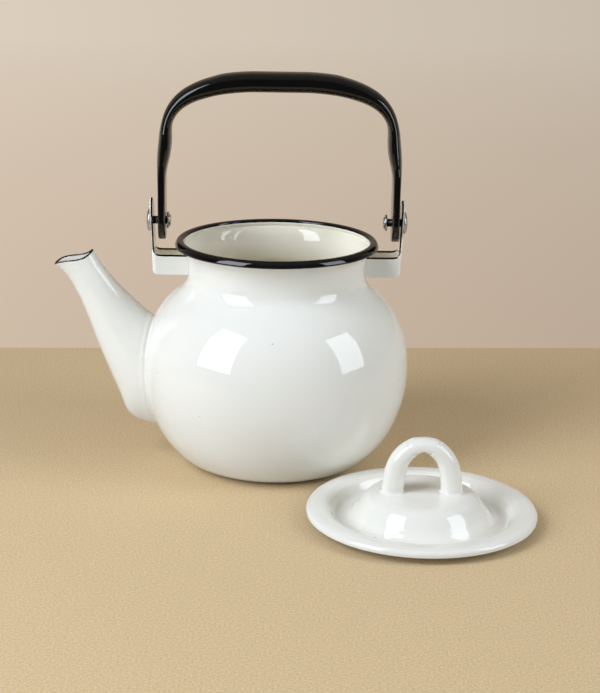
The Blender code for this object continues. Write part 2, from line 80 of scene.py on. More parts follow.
SPOUT_SHARES = ((1.0, 0.930, 0.560, 1.0, 0.35, -0.08), (0.862, 0.879, 0.492, 0.951, 0.36, -0.05),
                (0.739, 0.794, 0.401, 0.900, 0.40, 0.0), (0.626, 0.684, 0.286, 0.844, 0.47, 0.0),
                (0.521, 0.563, 0.161, 0.790, 0.57, 0.0), (0.408, 0.447, 0.027, 0.738, 0.70, 0.0),
                (0.288, 0.329, -0.098, 0.690, 0.84, 0.05), (0.168, 0.215, -0.233, 0.622, 0.93, 0.18),
                (-0.064, 0.166, -0.41, 0.546, 0.98, 0.28), (-0.34, 0.168, -0.555, 0.451, 0.98, 0.32))
BAIL_SHARES = ((0.0, 1.0, 1.0, 0.0), (0.12, 1.0, 1.0, 0.0), (0.231, 1.0, 1.0, 0.0), (0.353, 0.994, 1.0, 0.0),
               (0.448, 0.985, 0.99, 0.0), (0.55, 0.967, 0.91, 0.0), (0.652, 0.941, 0.855, -0.1),
               (0.751, 0.906, 0.75, -0.2), (0.822, 0.869, 0.63, -0.3), (0.883, 0.821, 0.487, -0.4),
               (0.927, 0.766, 0.368, -0.4), (0.954, 0.708, 0.303, -0.3), (0.967, 0.645, 0.368, -0.1),
               (0.971, 0.588, 0.44, 0.1), (0.977, 0.53, 0.47, 0.25), (0.986, 0.467, 0.42, 0.4),
               (0.996, 0.404, 0.27, 0.55), (1.0, 0.347, 0.12, 0.7), (1.0, 0.267, 0.02, 0.85),
               (1.0, 0.152, 0.0, 1.0), (1.0, 0.0, 0.0, 1.0))
FLANGE_SHARES = ((1.0, 0.56), (1.0, 0.71), (0.955, 0.88), (0.84, 0.97), (0.65, 1.0), (0.45, 0.96),
                 (0.31, 0.80), (0.221, 0.51), (0.15, 0.26), (0.0, 0.122))
DOME_SHARES = ((0.948, 0.012), (0.913, 0.052), (0.877, 0.147), (0.833, 0.29), (0.79, 0.43), (0.752, 0.575),
               (0.717, 0.71), (0.683, 0.82), (0.638, 0.9), (0.575, 0.948), (0.47, 0.978), (0.24, 0.994),
               (0.0, 1.0))
LOOP_SHARES = ((0.0, 1.0, 1.0, 1.0), (0.22, 0.985, 1.0, 1.0), (0.42, 0.935, 0.9, 1.0), (0.6, 0.85, 0.72, 1.0),
               (0.75, 0.735, 0.5, 1.0), (0.86, 0.6, 0.28, 1.0), (0.93, 0.455, 0.1, 1.0),
               (0.975, 0.31, 0.0, 1.0), (1.0, 0.17, 0.0, 1.03), (1.02, 0.04, 0.0, 1.05),
               (1.05, -0.07, 0.0, 1.1))


# Properties


def linear(code):
    """Linear red, green and blue of an sRGB hex colour, by the sRGB transfer curve."""
    value = np.array([int(code[i:i + 2], 16) for i in (1, 3, 5)]) / 255.0
    return tuple(np.where(value <= 0.04045, value / 12.92, ((value + 0.055) / 1.055) ** 2.4))


def length(name, description, default):
    return FloatProperty(name=name, description=description, default=default, min=0.0, precision=4,
                         subtype="DISTANCE", unit="LENGTH")


def share(name, description, default):
    return FloatProperty(name=name, description=description, default=default, min=0.0, max=1.0,
                         subtype="FACTOR")


def colour(name, description, code):
    return FloatVectorProperty(name=name, description=description, default=linear(code), size=3, min=0.0,
                               max=1.0, subtype="COLOR")


class KettleBodySizes(bpy.types.PropertyGroup):
    """Turned body and its black rim."""

    belly_radius: length("Belly radius", "Radius at the widest part", 0.085)
    belly_height: length("Belly height", "Height of the widest part over the table", 0.0636)
    base_radius: length("Base radius", "Radius of the flat underside", 0.046)
    shoulder_rise: length("Shoulder rise", "From the belly up to the neck", 0.0636)
    neck_radius: length("Neck radius", "Radius of the neck", 0.056)
    neck_rise: length("Neck rise", "From the neck up to the mouth", 0.0138)
    mouth_radius: length("Mouth radius", "Outer radius at the mouth", 0.0602)
    wall: length("Wall", "Thickness of the enamelled sheet", 0.0012)
    port_half_width: length("Port half width", "Half width of the hole into the spout", 0.017)
    port_half_height: length("Port half height", "Half height of the hole into the spout", 0.025)
    port_height: length("Port height", "Height of that hole's middle", 0.057)
    rim_width: length("Rim width", "Across the rolled edge, seen from above", 0.0057)
    rim_depth: length("Rim depth", "Height of the rolled edge", 0.0044)
    rim_lap: length("Rim lap", "How far the rolled edge reaches into the mouth", 0.0004)
    rim_seat: length("Rim seat", "Height of the rolled edge's middle over the shell's edge", 0.0021)


class KettleSpoutSizes(bpy.types.PropertyGroup):
    """Flattened horn with a beak."""

    reach: length("Reach", "From the belly out to the beak's tip", 0.0559)
    height: length("Height", "Height of the mouth's inner edge", 0.1374)
    half_width: length("Half width", "Half width at the root", 0.025)
    wall: length("Wall", "Thickness of the enamelled sheet", 0.0012)
    lip_dip: length("Lip dip", "How far the lip's sides swing below and above a straight cut", 0.0033)
    lip_bias: share("Lip bias", "How much more they dip than rise", 0.26)
    root_fillet: length("Root fillet", "Radius of the enamel fillet where it meets the belly", 0.0014)
    root_bead: length("Root bead", "Height of the weld bead along that seam", 0.0004)
    bead_width: length("Bead width", "Width of the weld bead", 0.0046)


class KettleBailSizes(bpy.types.PropertyGroup):
    """Strip rolled to a grip and flattened at its legs."""

    half_span: length("Half span", "From the middle to a leg", 0.0732)
    rise: length("Rise", "From the pivot to the grip's middle line", 0.0872)
    shift: length("Shift", "Side play taken up to the right", 0.0011)
    grip_depth: length("Grip depth", "Thickness of the grip", 0.0124)
    grip_width: length("Grip width", "Width of the grip", 0.020)
    leg_thickness: length("Leg thickness", "Thickness of a flat leg", 0.0048)
    paddle_width: length("Paddle width", "Width of a leg at the pivot", 0.024)
    wall: length("Wall", "Thickness of the strip", 0.0012)
    seam: length("Seam", "Gap along the underside of the grip", 0.0045)
    pivot_height: length("Pivot height", "Height of the pivot over the table", 0.1567)


class KettleBracketSizes(bpy.types.PropertyGroup):
    """Straps with their ears, rivets and washers."""

    width: length("Width", "Width of the strap", 0.020)
    depth: length("Depth", "Height of the strap", 0.013)
    sheet: length("Sheet", "Thickness of the strap", 0.0016)
    top: length("Top", "Height of the strap's upper edge", 0.1364)
    corner: length("Corner", "Radius of the strap's bends", 0.0024)
    heel: length("Heel", "Radius of the lower outer edge", 0.0034)
    bend: length("Bend", "Height of the sweep where the strap turns up into the ear", 0.0042)
    sweep: length("Sweep", "Length of that sweep along the strap", 0.0070)
    ear_width: length("Ear width", "Width of the ear", 0.0156)
    ear_rise: length("Ear rise", "From the pivot to the ear's top", 0.0143)
    ear_clearance: length("Ear clearance", "Room between the ear and the bail's leg", 0.0015)
    ear_lean: FloatProperty(name="Ear lean", description="How far the ear leans out",
                            default=math.radians(2.3), subtype="ANGLE", unit="ROTATION")
    head_radius: length("Head radius", "Radius of the rivet's head", 0.0070)
    head_height: length("Head height", "Height of the rivet's head", 0.0026)
    shank_radius: length("Shank radius", "Radius of the rivet's shank", 0.0025)
    tail_radius: length("Tail radius", "Radius of the rivet's peened tail", 0.0038)
    tail_height: length("Tail height", "Height of the rivet's peened tail", 0.0009)
    washer_radius: length("Washer radius", "Outer radius of the washer", 0.0052)
    washer_thickness: length("Washer thickness", "Thickness of the washer", 0.0012)
    washer_play: length("Washer play", "Room between the washer and the bail's leg", 0.0017)
    clearance: length("Clearance", "Room between pieces that lie against each other", 0.0003)


class KettleLidSizes(bpy.types.PropertyGroup):
    """Loose lid and its finger loop."""

    right: length("Right", "How far to the right of the kettle it lies", 0.0876)
    front: length("Front", "How far in front of the kettle it lies", 0.1069)
    radius: length("Radius", "Radius of the flange", 0.0684)
    wall: length("Wall", "Thickness of the enamelled sheet", 0.0011)
    recess_radius: length("Recess radius", "Radius of the recess", 0.0482)
    flange_rise: length("Flange rise", "Height of the flange's crest", 0.0090)
    dome_rise: length("Dome rise", "From the recess up to the dome's crown", 0.0169)
    loop_half_span: length("Loop half span", "From the middle of the loop to a leg", 0.0172)
    loop_rise: length("Loop rise", "From the dome up to the loop's middle line", 0.0285)
    loop_depth: length("Loop depth", "Thickness at the crown", 0.0101)
    loop_leg_depth: length("Loop leg depth", "Thickness at the feet", 0.0130)
    loop_width: length("Loop width", "Width of the loop", 0.0130)
    loop_wall: length("Loop wall", "Thickness of the sheet it is rolled from", 0.0012)
    loop_seam: length("Loop seam", "Gap along its inner side", 0.0030)
    foot_fillet: length("Foot fillet", "Radius of the enamel fillet at its feet", 0.0015)
    notch_rise: length("Notch rise", "Height of the pinch under the loop's crown", 0.0026)
    notch_half_width: length("Notch half width", "From the pinch's tip to its end", 0.0070)


class KettleFinish(bpy.types.PropertyGroup):
    """Colours of the finishes and the stage."""

    cream: colour("Cream enamel", "Cover coat of the body, spout, brackets and lid", "#F4F2EA")
    cream_shade: colour("Cream enamel, thin", "Where the cover coat runs a little thinner", "#F0EDE3")
    # A warmer coat, painted paler than the outer cream as light inside the body and on the straps' inner
    # faces
    cream_inside_painted_paler: colour("Cream enamel, inside", "The warmer coat inside the body and straps", "#FDF7E4")
    black: colour("Black enamel", "Rim, bail and bare edges", "#030304")
    steel: colour("Plated steel", "Rivets and washers", "#C8C6C1")
    table: colour("Table", "Plain paper of the table", "#DCC197")
    table_bounce: colour("Table's light", "What the table throws back on the enamel", "#CEC4B2")
    backdrop: colour("Backdrop", "Plain wall just behind the table", "#CAB7A3")
    # Painted light: the wall painted paler higher up
    backdrop_far_painted_paler: colour("Backdrop, far", "The same wall higher up", "#D6C9B8")


# Surfaces


def places(x, y, z):
    """Points from three coordinates, each a number or an array that is spread over the others."""
    return np.stack(np.broadcast_arrays(x, y, z), axis=-1)


def around(count):
    """Angles of a full turn, the first not repeated at its end."""
    return np.linspace(0.0, math.tau, count, endpoint=False)


def between(first, last, part):
    """The first value plus a part of the way to the last."""
    return first + (last - first) * part


def unit(vectors):
    """Vectors divided by their lengths."""
    return vectors / np.linalg.norm(vectors, axis=-1, keepdims=True)


def left_of(directions):
    """Flat directions turned a quarter to the left."""
    return np.stack([-directions[:, 1], directions[:, 0]], axis=1)


def run_along(points):
    """Distance of each point from the first one, along the points."""
    return np.concatenate([[0.0], np.cumsum(np.linalg.norm(np.diff(points, axis=0), axis=1))])


def through(points, count, along=None):
    """A smooth curve through points: cubic Hermite pieces, whose slope at each point is that of the parabola
    through it and its neighbours. The parameter is the distance along the points, unless one is given."""
    points = np.asarray(points, float)
    if along is None:
        along = run_along(points)
    slope = np.gradient(points, along, axis=0, edge_order=2)
    where = np.linspace(along[0], along[-1], count)
    i = np.clip(np.searchsorted(along, where, "right") - 1, 0, len(along) - 2)
    step = (along[i + 1] - along[i])[:, None]
    u = (where - along[i])[:, None] / step
    return ((2 * u**3 - 3 * u**2 + 1) * points[i] + (u**3 - 2 * u**2 + u) * step * slope[i]
            + (3 * u**2 - 2 * u**3) * points[i + 1] + (u**3 - u**2) * step * slope[i + 1])


def moved_in(outline, distance):
    """A flat outline moved to its left, along its normals, by a distance."""
    return outline + distance * left_of(unit(np.gradient(outline, axis=0)))


def ease(low, high, value):
    """Smooth step: 0 below low, 1 above high, and 3t squared minus 2t cubed between them."""
    t = np.clip((value - low) / (high - low), 0.0, 1.0)
    return t * t * (3.0 - 2.0 * t)


def squared(angle, roundness):
    """Cosine and sine of a rounded square: each divided by the n-th root of the sum of their n-th powers."""
    c, s = np.cos(angle), np.sin(angle)
    size = (np.abs(c) ** roundness + np.abs(s) ** roundness) ** (1.0 / roundness)
    return c / size, s / size


def turned(profile, steps, middle=(0.0, 0.0)):
    """Surface of revolution: the profile's radius times cosine and sine of the angle, and its height."""
    angle = around(steps)
    radius, height = profile[:, 0, None], profile[:, 1, None]
    return places(middle[0] + radius * np.cos(angle), middle[1] + radius * np.sin(angle), height)


def stood(name, data):
    """A new object of that name, linked to the scene."""
    made = bpy.data.objects.new(name, data)
    bpy.context.scene.collection.objects.link(made)
    return made


def mesh_piece(name, grid, closed, body, slot, replaced, marks=0.0, inside=0.0):
    """A closed mesh from a grid of points, rows by columns, whose columns wrap round. Closed rows wrap too.
    Open rows end in a point: the mean of the end row. Faces are turned outwards by the signed volume. The
    marks say where the black ground coat is bare, and on the lid also where black is painted shade under its
    edge. Inside says where the warmer coat is, which is painted paler as light."""
    rows, columns, _ = grid.shape
    points = grid.reshape(-1, 3)
    number = np.arange(rows * columns).reshape(rows, columns)
    low = number if closed else number[:-1]
    high = np.roll(number, -1, axis=0) if closed else number[1:]
    quads = np.stack([low, np.roll(low, -1, axis=1), np.roll(high, -1, axis=1), high], axis=2).reshape(-1, 4)
    fans = np.zeros((0, 3), int)
    if not closed:
        ends = np.stack([grid[0].mean(axis=0), grid[-1].mean(axis=0)])
        points = np.concatenate([points, ends])
        first, last = rows * columns, rows * columns + 1
        fans = np.concatenate([
            np.stack([np.full(columns, first), np.roll(number[0], -1), number[0]], axis=1),
            np.stack([np.full(columns, last), number[-1], np.roll(number[-1], -1)], axis=1)])
    triangles = np.concatenate([quads[:, :3], quads[:, [0, 2, 3]], fans])
    a, b, c = (points[triangles[:, i]] for i in range(3))
    if np.einsum("ij,ij->i", a, np.cross(b, c)).sum() < 0.0:
        quads, fans = quads[:, ::-1], fans[:, ::-1]
    corners = np.concatenate([quads.ravel(), fans.ravel()])
    starts = np.concatenate([4 * np.arange(len(quads)), 4 * len(quads) + 3 * np.arange(len(fans))])
    mesh = bpy.data.meshes.new(name)
    mesh.vertices.add(len(points))
    mesh.vertices.foreach_set("co", points.astype(np.float32).ravel())
    mesh.loops.add(len(corners))
    mesh.loops.foreach_set("vertex_index", corners.astype(np.int32))
    mesh.polygons.add(len(starts))
    mesh.polygons.foreach_set("loop_start", starts.astype(np.int32))
    mesh.update(calc_edges=True)
    mesh.validate()
    mesh.shade_smooth()
    for word, known in (("bare_edge_and_painted_shade", marks), ("inner_coat_painted_paler", inside)):
        values = np.zeros(len(points), np.float32)
        values[:rows * columns] = np.broadcast_to(known, (rows, columns)).ravel()
        mesh.attributes.new(word, "FLOAT", "POINT").data.foreach_set("value", values)
    piece = stood(name, mesh)
    mesh.materials.append(finish_of(slot))
    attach(piece, body)
    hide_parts(*replaced)
    return piece


# Materials


def node(tree, kind, settings, inputs):
    """Adds a node, sets its settings, and gives each input a value or links a socket to it."""
    made = tree.nodes.new(kind)
    for name, value in settings.items():
        setattr(made, name, value)
    for key, value in inputs.items():
        if isinstance(value, bpy.types.NodeSocket):
            tree.links.new(value, made.inputs[key])
        else:
            made.inputs[key].default_value = value
    return made


def new_material(name, values):
    """A Principled material with constants set on the shader's own sockets."""
    made = bpy.data.materials.new(name)
    made.use_nodes = True
    shader = made.node_tree.nodes["Principled BSDF"]
    for key, value in values.items():
        shader.inputs[key].default_value = value
    return made, made.node_tree, shader


def per_metre(millimetres):
    """A texture's scale for a pattern whose features lie this many millimetres apart."""
    return 1000.0 / millimetres


def cream_enamel(name, finish):
    """Opaque titania-white vitreous enamel, dipped and fired: glassy, a little warm, settled in soft waves 45
    mm apart. Bare edges show the black ground coat in a line broken every 5 mm or so, and the coat has a few
    dark specks 0.33 mm in radius, at most one in 9 mm. The same black also paints shade in a band under the
    lid's front edge, and the warmer inside coat is painted paler than the outside, as light inside the body
    and straps."""
    made, tree, shader = new_material(name, {"Roughness": 0.04, "IOR": 1.52})
    place = node(tree, "ShaderNodeTexCoord", {}, {}).outputs["Object"]
    waves = node(tree, "ShaderNodeTexNoise", {}, {"Vector": place, "Scale": per_metre(45.0), "Detail": 1.0})
    relief = node(tree, "ShaderNodeBump", {},
                  {"Strength": 0.14, "Distance": 0.0005, "Height": waves.outputs["Fac"]})
    tree.links.new(relief.outputs["Normal"], shader.inputs["Normal"])
    cloud = node(tree, "ShaderNodeTexNoise", {}, {"Vector": place, "Scale": per_metre(38.0), "Detail": 3.0})
    outer = node(tree, "ShaderNodeMix", {"data_type": "RGBA"},
                 {"Factor": cloud.outputs["Fac"], "A": (*finish.cream, 1.0), "B": (*finish.cream_shade, 1.0)})
    # The inside coat: warmer, and painted paler than the outside as light inside the body and straps
    inner = node(tree, "ShaderNodeAttribute", {"attribute_name": "inner_coat_painted_paler"}, {})
    coat = node(tree, "ShaderNodeMix", {"data_type": "RGBA"},
                {"Factor": inner.outputs["Fac"], "A": outer.outputs["Result"],
                 "B": (*finish.cream_inside_painted_paler, 1.0)})
    apart, speck = 9.0, 0.33
    cells = node(tree, "ShaderNodeTexVoronoi", {}, {"Vector": place, "Scale": per_metre(apart)})
    near = node(tree, "ShaderNodeMath", {"operation": "LESS_THAN"},
                {0: cells.outputs["Distance"], 1: speck / apart})
    lot = node(tree, "ShaderNodeSeparateColor", {}, {"Color": cells.outputs["Color"]})
    few = node(tree, "ShaderNodeMath", {"operation": "GREATER_THAN"}, {0: lot.outputs["Red"], 1: 0.55})
    specks = node(tree, "ShaderNodeMath", {"operation": "MULTIPLY"}, {0: near.outputs[0], 1: few.outputs[0]})
    faint = node(tree, "ShaderNodeMath", {"operation": "MULTIPLY"}, {0: specks.outputs[0], 1: 0.75})
    # Black where the ground coat is bare, and under the lid's front edge black as painted shade
    bare = node(tree, "ShaderNodeAttribute", {"attribute_name": "bare_edge_and_painted_shade"}, {})
    grain = node(tree, "ShaderNodeTexNoise", {}, {"Vector": place, "Scale": per_metre(5.0), "Detail": 3.0})
    marking = node(tree, "ShaderNodeMath", {"operation": "ADD"},
                {0: bare.outputs["Fac"], 1: grain.outputs["Fac"]})
    line = node(tree, "ShaderNodeMapRange", {},
                {"Value": marking.outputs[0], "From Min": 1.02, "From Max": 1.1})
    dark = node(tree, "ShaderNodeMath", {"operation": "MAXIMUM"}, {0: faint.outputs[0], 1: line.outputs[0]})
    shade = node(tree, "ShaderNodeMix", {"data_type": "RGBA"},
                 {"Factor": dark.outputs[0], "A": coat.outputs["Result"], "B": (*finish.black, 1.0)})
    tree.links.new(shade.outputs["Result"], shader.inputs["Base Color"])
    return made


def black_enamel(name, finish):
    """Cobalt-black vitreous enamel, dipped and fired: deep and glassy, its gloss and depth a little uneven
    every 7 mm from handling."""
    made, tree, shader = new_material(name, {"IOR": 1.48})
    place = node(tree, "ShaderNodeTexCoord", {}, {}).outputs["Object"]
    cloud = node(tree, "ShaderNodeTexNoise", {}, {"Vector": place, "Scale": per_metre(7.0), "Detail": 4.0})
    gloss = node(tree, "ShaderNodeMapRange", {},
                 {"Value": cloud.outputs["Fac"], "From Min": 0.3, "From Max": 0.7,
                  "To Min": 0.02, "To Max": 0.05})
    tree.links.new(gloss.outputs["Result"], shader.inputs["Roughness"])
    lift = node(tree, "ShaderNodeMapRange", {},
                {"Value": cloud.outputs["Fac"], "From Min": 0.62, "From Max": 0.8,
                 "To Min": 1.0, "To Max": 2.2})
    shade = node(tree, "ShaderNodeVectorMath", {"operation": "SCALE"},
                 {0: tuple(finish.black), "Scale": lift.outputs["Result"]})
    tree.links.new(shade.outputs["Vector"], shader.inputs["Base Color"])
    return made


def plated_steel(name, finish):
    """Nickel-plated steel, headed cold: bright grey, its gloss broken by tumbling dents drawn 1.4 mm apart,
    coarser than they are, so that they just show, and its tone a little uneven every 3 mm."""
    made, tree, shader = new_material(name, {"Metallic": 1.0, "Roughness": 0.24})
    place = node(tree, "ShaderNodeTexCoord", {}, {}).outputs["Object"]
    dents = node(tree, "ShaderNodeTexNoise", {}, {"Vector": place, "Scale": per_metre(1.4), "Detail": 2.0})
    relief = node(tree, "ShaderNodeBump", {},
                  {"Strength": 0.5, "Distance": 0.00008, "Height": dents.outputs["Fac"]})
    tree.links.new(relief.outputs["Normal"], shader.inputs["Normal"])
    cloud = node(tree, "ShaderNodeTexNoise", {}, {"Vector": place, "Scale": per_metre(3.0), "Detail": 3.0})
    shade = node(tree, "ShaderNodeMapRange", {},
                 {"Value": cloud.outputs["Fac"], "From Min": 0.3, "From Max": 0.7,
                  "To Min": 0.78, "To Max": 1.0})
    tint = node(tree, "ShaderNodeVectorMath", {"operation": "SCALE"},
                {0: tuple(finish.steel), "Scale": shade.outputs["Result"]})
    tree.links.new(tint.outputs["Vector"], shader.inputs["Base Color"])
    return made


def seen_directly(tree):
    """One for camera, glossy and transmission rays, zero for light that spreads from a matt surface."""
    path = node(tree, "ShaderNodeLightPath", {}, {})
    straight = node(tree, "ShaderNodeMath", {"operation": "MAXIMUM"},
                    {0: path.outputs["Is Camera Ray"], 1: path.outputs["Is Glossy Ray"]})
    seen = node(tree, "ShaderNodeMath", {"operation": "MAXIMUM"},
                {0: straight.outputs[0], 1: path.outputs["Is Transmission Ray"]})
    return seen.outputs[0]


def kraft_paper(finish):
    """Plain kraft paper, uncoated: matt, with pulp drawn 1.3 mm apart, coarser than it is, so that it just
    shows. What it throws back on matt surfaces is paler and less brown than what the eye sees of it, so that
    the enamel over it stays as neutral as in the photograph."""
    made, tree, shader = new_material("uncoated_kraft_paper", {"Roughness": 0.85, "IOR": 1.4})
    place = node(tree, "ShaderNodeTexCoord", {}, {}).outputs["Object"]
    pulp = node(tree, "ShaderNodeTexNoise", {}, {"Vector": place, "Scale": per_metre(1.3), "Detail": 2.0})
    shade = node(tree, "ShaderNodeMapRange", {},
                 {"Value": pulp.outputs["Fac"], "To Min": 0.64, "To Max": 1.36})
    tint = node(tree, "ShaderNodeVectorMath", {"operation": "SCALE"},
                {0: tuple(finish.table), "Scale": shade.outputs["Result"]})
    sheet = node(tree, "ShaderNodeMix", {"data_type": "RGBA"},
                 {"Factor": seen_directly(tree), "A": (*finish.table_bounce, 1.0),
                  "B": tint.outputs["Vector"]})
    tree.links.new(sheet.outputs["Result"], shader.inputs["Base Color"])
    return made


def plain_backdrop(finish):
    """Matt wall colour that the camera and reflections see glowing at its own level. Painted light makes it a
    little paler with distance, and painted shade makes it darker to the right."""
    made, tree, shader = new_material("matt_wall_paint", {"Roughness": 0.9})
    shader.inputs["Base Color"].default_value = (*finish.backdrop, 1.0)
    place = node(tree, "ShaderNodeTexCoord", {}, {}).outputs["Object"]
    part = node(tree, "ShaderNodeSeparateXYZ", {}, {"Vector": place})
    # Painted light: the wall turns paler with distance
    far = node(tree, "ShaderNodeMapRange", {},
               {"Value": part.outputs["Y"], "From Min": 0.25, "From Max": 2.6})
    depth = node(tree, "ShaderNodeMath", {"operation": "ADD"}, {0: part.outputs["Y"], 1: 1.0})
    slant = node(tree, "ShaderNodeMath", {"operation": "DIVIDE"}, {0: part.outputs["X"], 1: depth.outputs[0]})
    # Painted shade: the wall turns darker to the right
    side = node(tree, "ShaderNodeMapRange", {},
                {"Value": slant.outputs[0], "From Min": -0.18, "From Max": 0.2,
                 "To Min": 1.06, "To Max": 0.86})
    wall = node(tree, "ShaderNodeMix", {"data_type": "RGBA"},
                {"Factor": far.outputs["Result"], "A": (*finish.backdrop, 1.0),
                 "B": (*finish.backdrop_far_painted_paler, 1.0)})
    tint = node(tree, "ShaderNodeVectorMath", {"operation": "SCALE"},
                {0: wall.outputs["Result"], "Scale": side.outputs["Result"]})
    glow = node(tree, "ShaderNodeEmission", {}, {"Color": tint.outputs["Vector"], "Strength": 1.0})
    both = node(tree, "ShaderNodeMixShader", {}, {0: seen_directly(tree), 1: shader.outputs["BSDF"],
                                                  2: glow.outputs["Emission"]})
    tree.links.new(both.outputs["Shader"], tree.nodes["Material Output"].inputs["Surface"])
    return made


FINISHES = {"cream_enamel": ("fired_cream_vitreous_enamel", cream_enamel),
            "black_enamel": ("fired_black_vitreous_enamel", black_enamel),
            "plated_steel": ("tumbled_nickel_plated_steel", plated_steel)}


def finish_of(slot):
    """The slot's material, made once."""
    name, maker = FINISHES[slot]
    return bpy.data.materials.get(name) or maker(name, bpy.context.scene.kettle_finish)


# Outlines that several pieces share


def body_outline(sizes):
    """The outside of the body, as radius and height: a flat underside, then a smooth curve through the bowl,
    shoulder and neck shares."""
    neck = sizes.belly_height + sizes.shoulder_rise
    bowl = [(between(sizes.base_radius, sizes.belly_radius, out), sizes.belly_height * up)
            for up, out in BOWL_SHARES]
    shoulder = [(between(sizes.belly_radius, sizes.neck_radius, inward),
                 sizes.belly_height + sizes.shoulder_rise * up) for up, inward in SHOULDER_SHARES]
    flare = [(between(sizes.neck_radius, sizes.mouth_radius, out), neck + sizes.neck_rise * up)
             for up, out in NECK_SHARES]
    flat = [(sizes.base_radius * part, 0.0) for part in (0.0, 0.3, 0.6, 0.85)]
    curve = through(flat + bowl + shoulder + flare, count=170)
    curve[:, 0] = np.minimum(curve[:, 0], sizes.belly_radius)
    curve[:, 1] = np.maximum(curve[:, 1], 0.0)
    return curve


def rim_inside(sizes):
    """Radius of the rolled edge's inner side."""
    return sizes.mouth_radius - sizes.wall - sizes.rim_lap


def climbing(outline):
    """The outline's heights, made to rise at every row, so that a radius can be looked up by height."""
    return np.maximum.accumulate(outline[:, 1]) + 1e-9 * np.arange(len(outline))


def above_body(points, outline):
    """How far points stand off the body, and the body's outward normal there: the gap in radius at the same
    height, times the cosine of the wall's slope."""
    height, steepest = climbing(outline), 4.0
    slope = np.clip(np.gradient(outline[:, 0], height), -steepest, steepest)
    x, y, z = np.moveaxis(points, -1, 0)
    radius, lean = np.interp(z, height, outline[:, 0]), np.interp(z, height, slope)
    away = np.hypot(x, y)
    cosine = 1.0 / np.sqrt(1.0 + lean**2)
    return (away - radius) * cosine, places(x / away * cosine, y / away * cosine, -lean * cosine)


def lid_outline(sizes):
    """Upper and lower outline of the lid, from its axis out to the flange's edge, standing on the table. The
    lower one has a third of the points."""
    flange = [(between(sizes.recess_radius, sizes.radius, out), sizes.flange_rise * up)
              for out, up in FLANGE_SHARES]
    floor = flange[-1][1]
    dome = [(sizes.recess_radius * out, floor + sizes.dome_rise * up) for out, up in DOME_SHARES]
    upper = through((flange + dome)[::-1], count=271)
    lower = moved_in(upper, -sizes.wall)[::3]
    drop = [0.0, lower[:, 1].min()]
    return upper - drop, lower - drop


def cut_at(grid, outside, count, both_ends=False):
    """Runs each column of a grid from its first row, or from its middle both ways, to where outside falls
    below zero, and gives it that many rows again, evenly spaced. Between rows it goes straight."""

    def reach(values):
        inside = values < 0.0
        first = np.where(inside.any(axis=0), inside.argmax(axis=0), len(values) - 1)
        first = np.maximum(first, 1)
        before = np.take_along_axis(values, first[None] - 1, 0)[0]
        after = np.take_along_axis(values, first[None], 0)[0]
        part = np.clip(before / np.where(before == after, 1.0, before - after), 0.0, 1.0)
        return first - 1 + part

    middle = len(grid) // 2 if both_ends else 0
    end = middle + reach(outside[middle:])
    start = middle - reach(outside[middle::-1]) if both_ends else np.zeros_like(end)
    where = start + np.linspace(0.0, 1.0, count)[:, None] * (end - start)
    low = np.clip(where.astype(int), 0, len(grid) - 2)
    part = (where - low)[..., None]
    column = np.arange(grid.shape[1])[None]
    return grid[low, column] * (1.0 - part) + grid[low + 1, column] * part


def fillet(gap, radius):
    """Sideways growth of a quarter-round fillet at a distance from what it stands on: the radius less the
    height of the circle."""
    share_off = np.clip(1.0 - gap / radius, 0.0, 1.0)
    return radius * (1.0 - np.sqrt(1.0 - share_off**2))


# Pieces


def make_body(sizes):
    """Turned shell: outline, a lip of the cover coat up the inside of the rolled edge, and the same outline
    moved in by the wall. The lip shares are parts of the rolled edge's half width and of its depth. The port
    is cut by an elliptic cylinder along X, from outside the belly to half way to its axis."""
    outside = body_outline(sizes)
    inside = moved_in(outside, sizes.wall)
    mouth = outside[-1, 1]
    inside[:, 0] = np.maximum(inside[:, 0], 0.0)
    inside[-1] = (outside[-1, 0] - sizes.wall, mouth)
    inside[:, 1] = np.minimum(inside[:, 1], mouth)
    lip = np.array(LIP_SHARES) * [sizes.rim_width / 2, sizes.rim_depth] + [rim_inside(sizes), mouth]
    profile = np.concatenate([outside[1:], lip, inside[:0:-1]])
    # The lip and the inside get the warmer coat, painted paler than the outside as light inside the body
    within = (np.arange(len(profile)) >= len(outside))[:, None]
    body = mesh_piece("enamelled_body", turned(profile, LARGE_ROUND), False, "kettle", "cream_enamel",
                      ["kettle_body"], inside=within)
    angle, ends = around(96), np.array([[-1.2], [-0.5]]) * sizes.belly_radius
    grid = places(ends, sizes.port_half_width * np.cos(angle),
                  sizes.port_height + sizes.port_half_height * np.sin(angle))
    cutter = mesh_piece("port_cutter", grid, False, "kettle", "cream_enamel", [])
    cut = body.modifiers.new("port", "BOOLEAN")
    cut.object = cutter
    cut.operation, cut.solver = "DIFFERENCE", "EXACT"
    graph = bpy.context.evaluated_depsgraph_get()
    shaped = bpy.data.meshes.new_from_object(body.evaluated_get(graph))
    body.modifiers.clear()
    body.data = shaped
    bpy.data.objects.remove(cutter, do_unlink=True)
    return body


def make_rim(sizes):
    """Ring whose section is a smooth curve through the rim shares, which are parts of its half width and half
    depth, rolled outwards from its inner side."""
    half = np.array([sizes.rim_width / 2, sizes.rim_depth / 2])
    mouth = sizes.belly_height + sizes.shoulder_rise + sizes.neck_rise
    section = through([*RIM_SHARES, RIM_SHARES[0]], count=64)[:-1] * half
    ring = turned(section + [rim_inside(sizes) + half[0], mouth + sizes.rim_seat], LARGE_ROUND)
    return mesh_piece("rolled_rim", ring, True, "kettle", "black_enamel", ["rim_bead"])


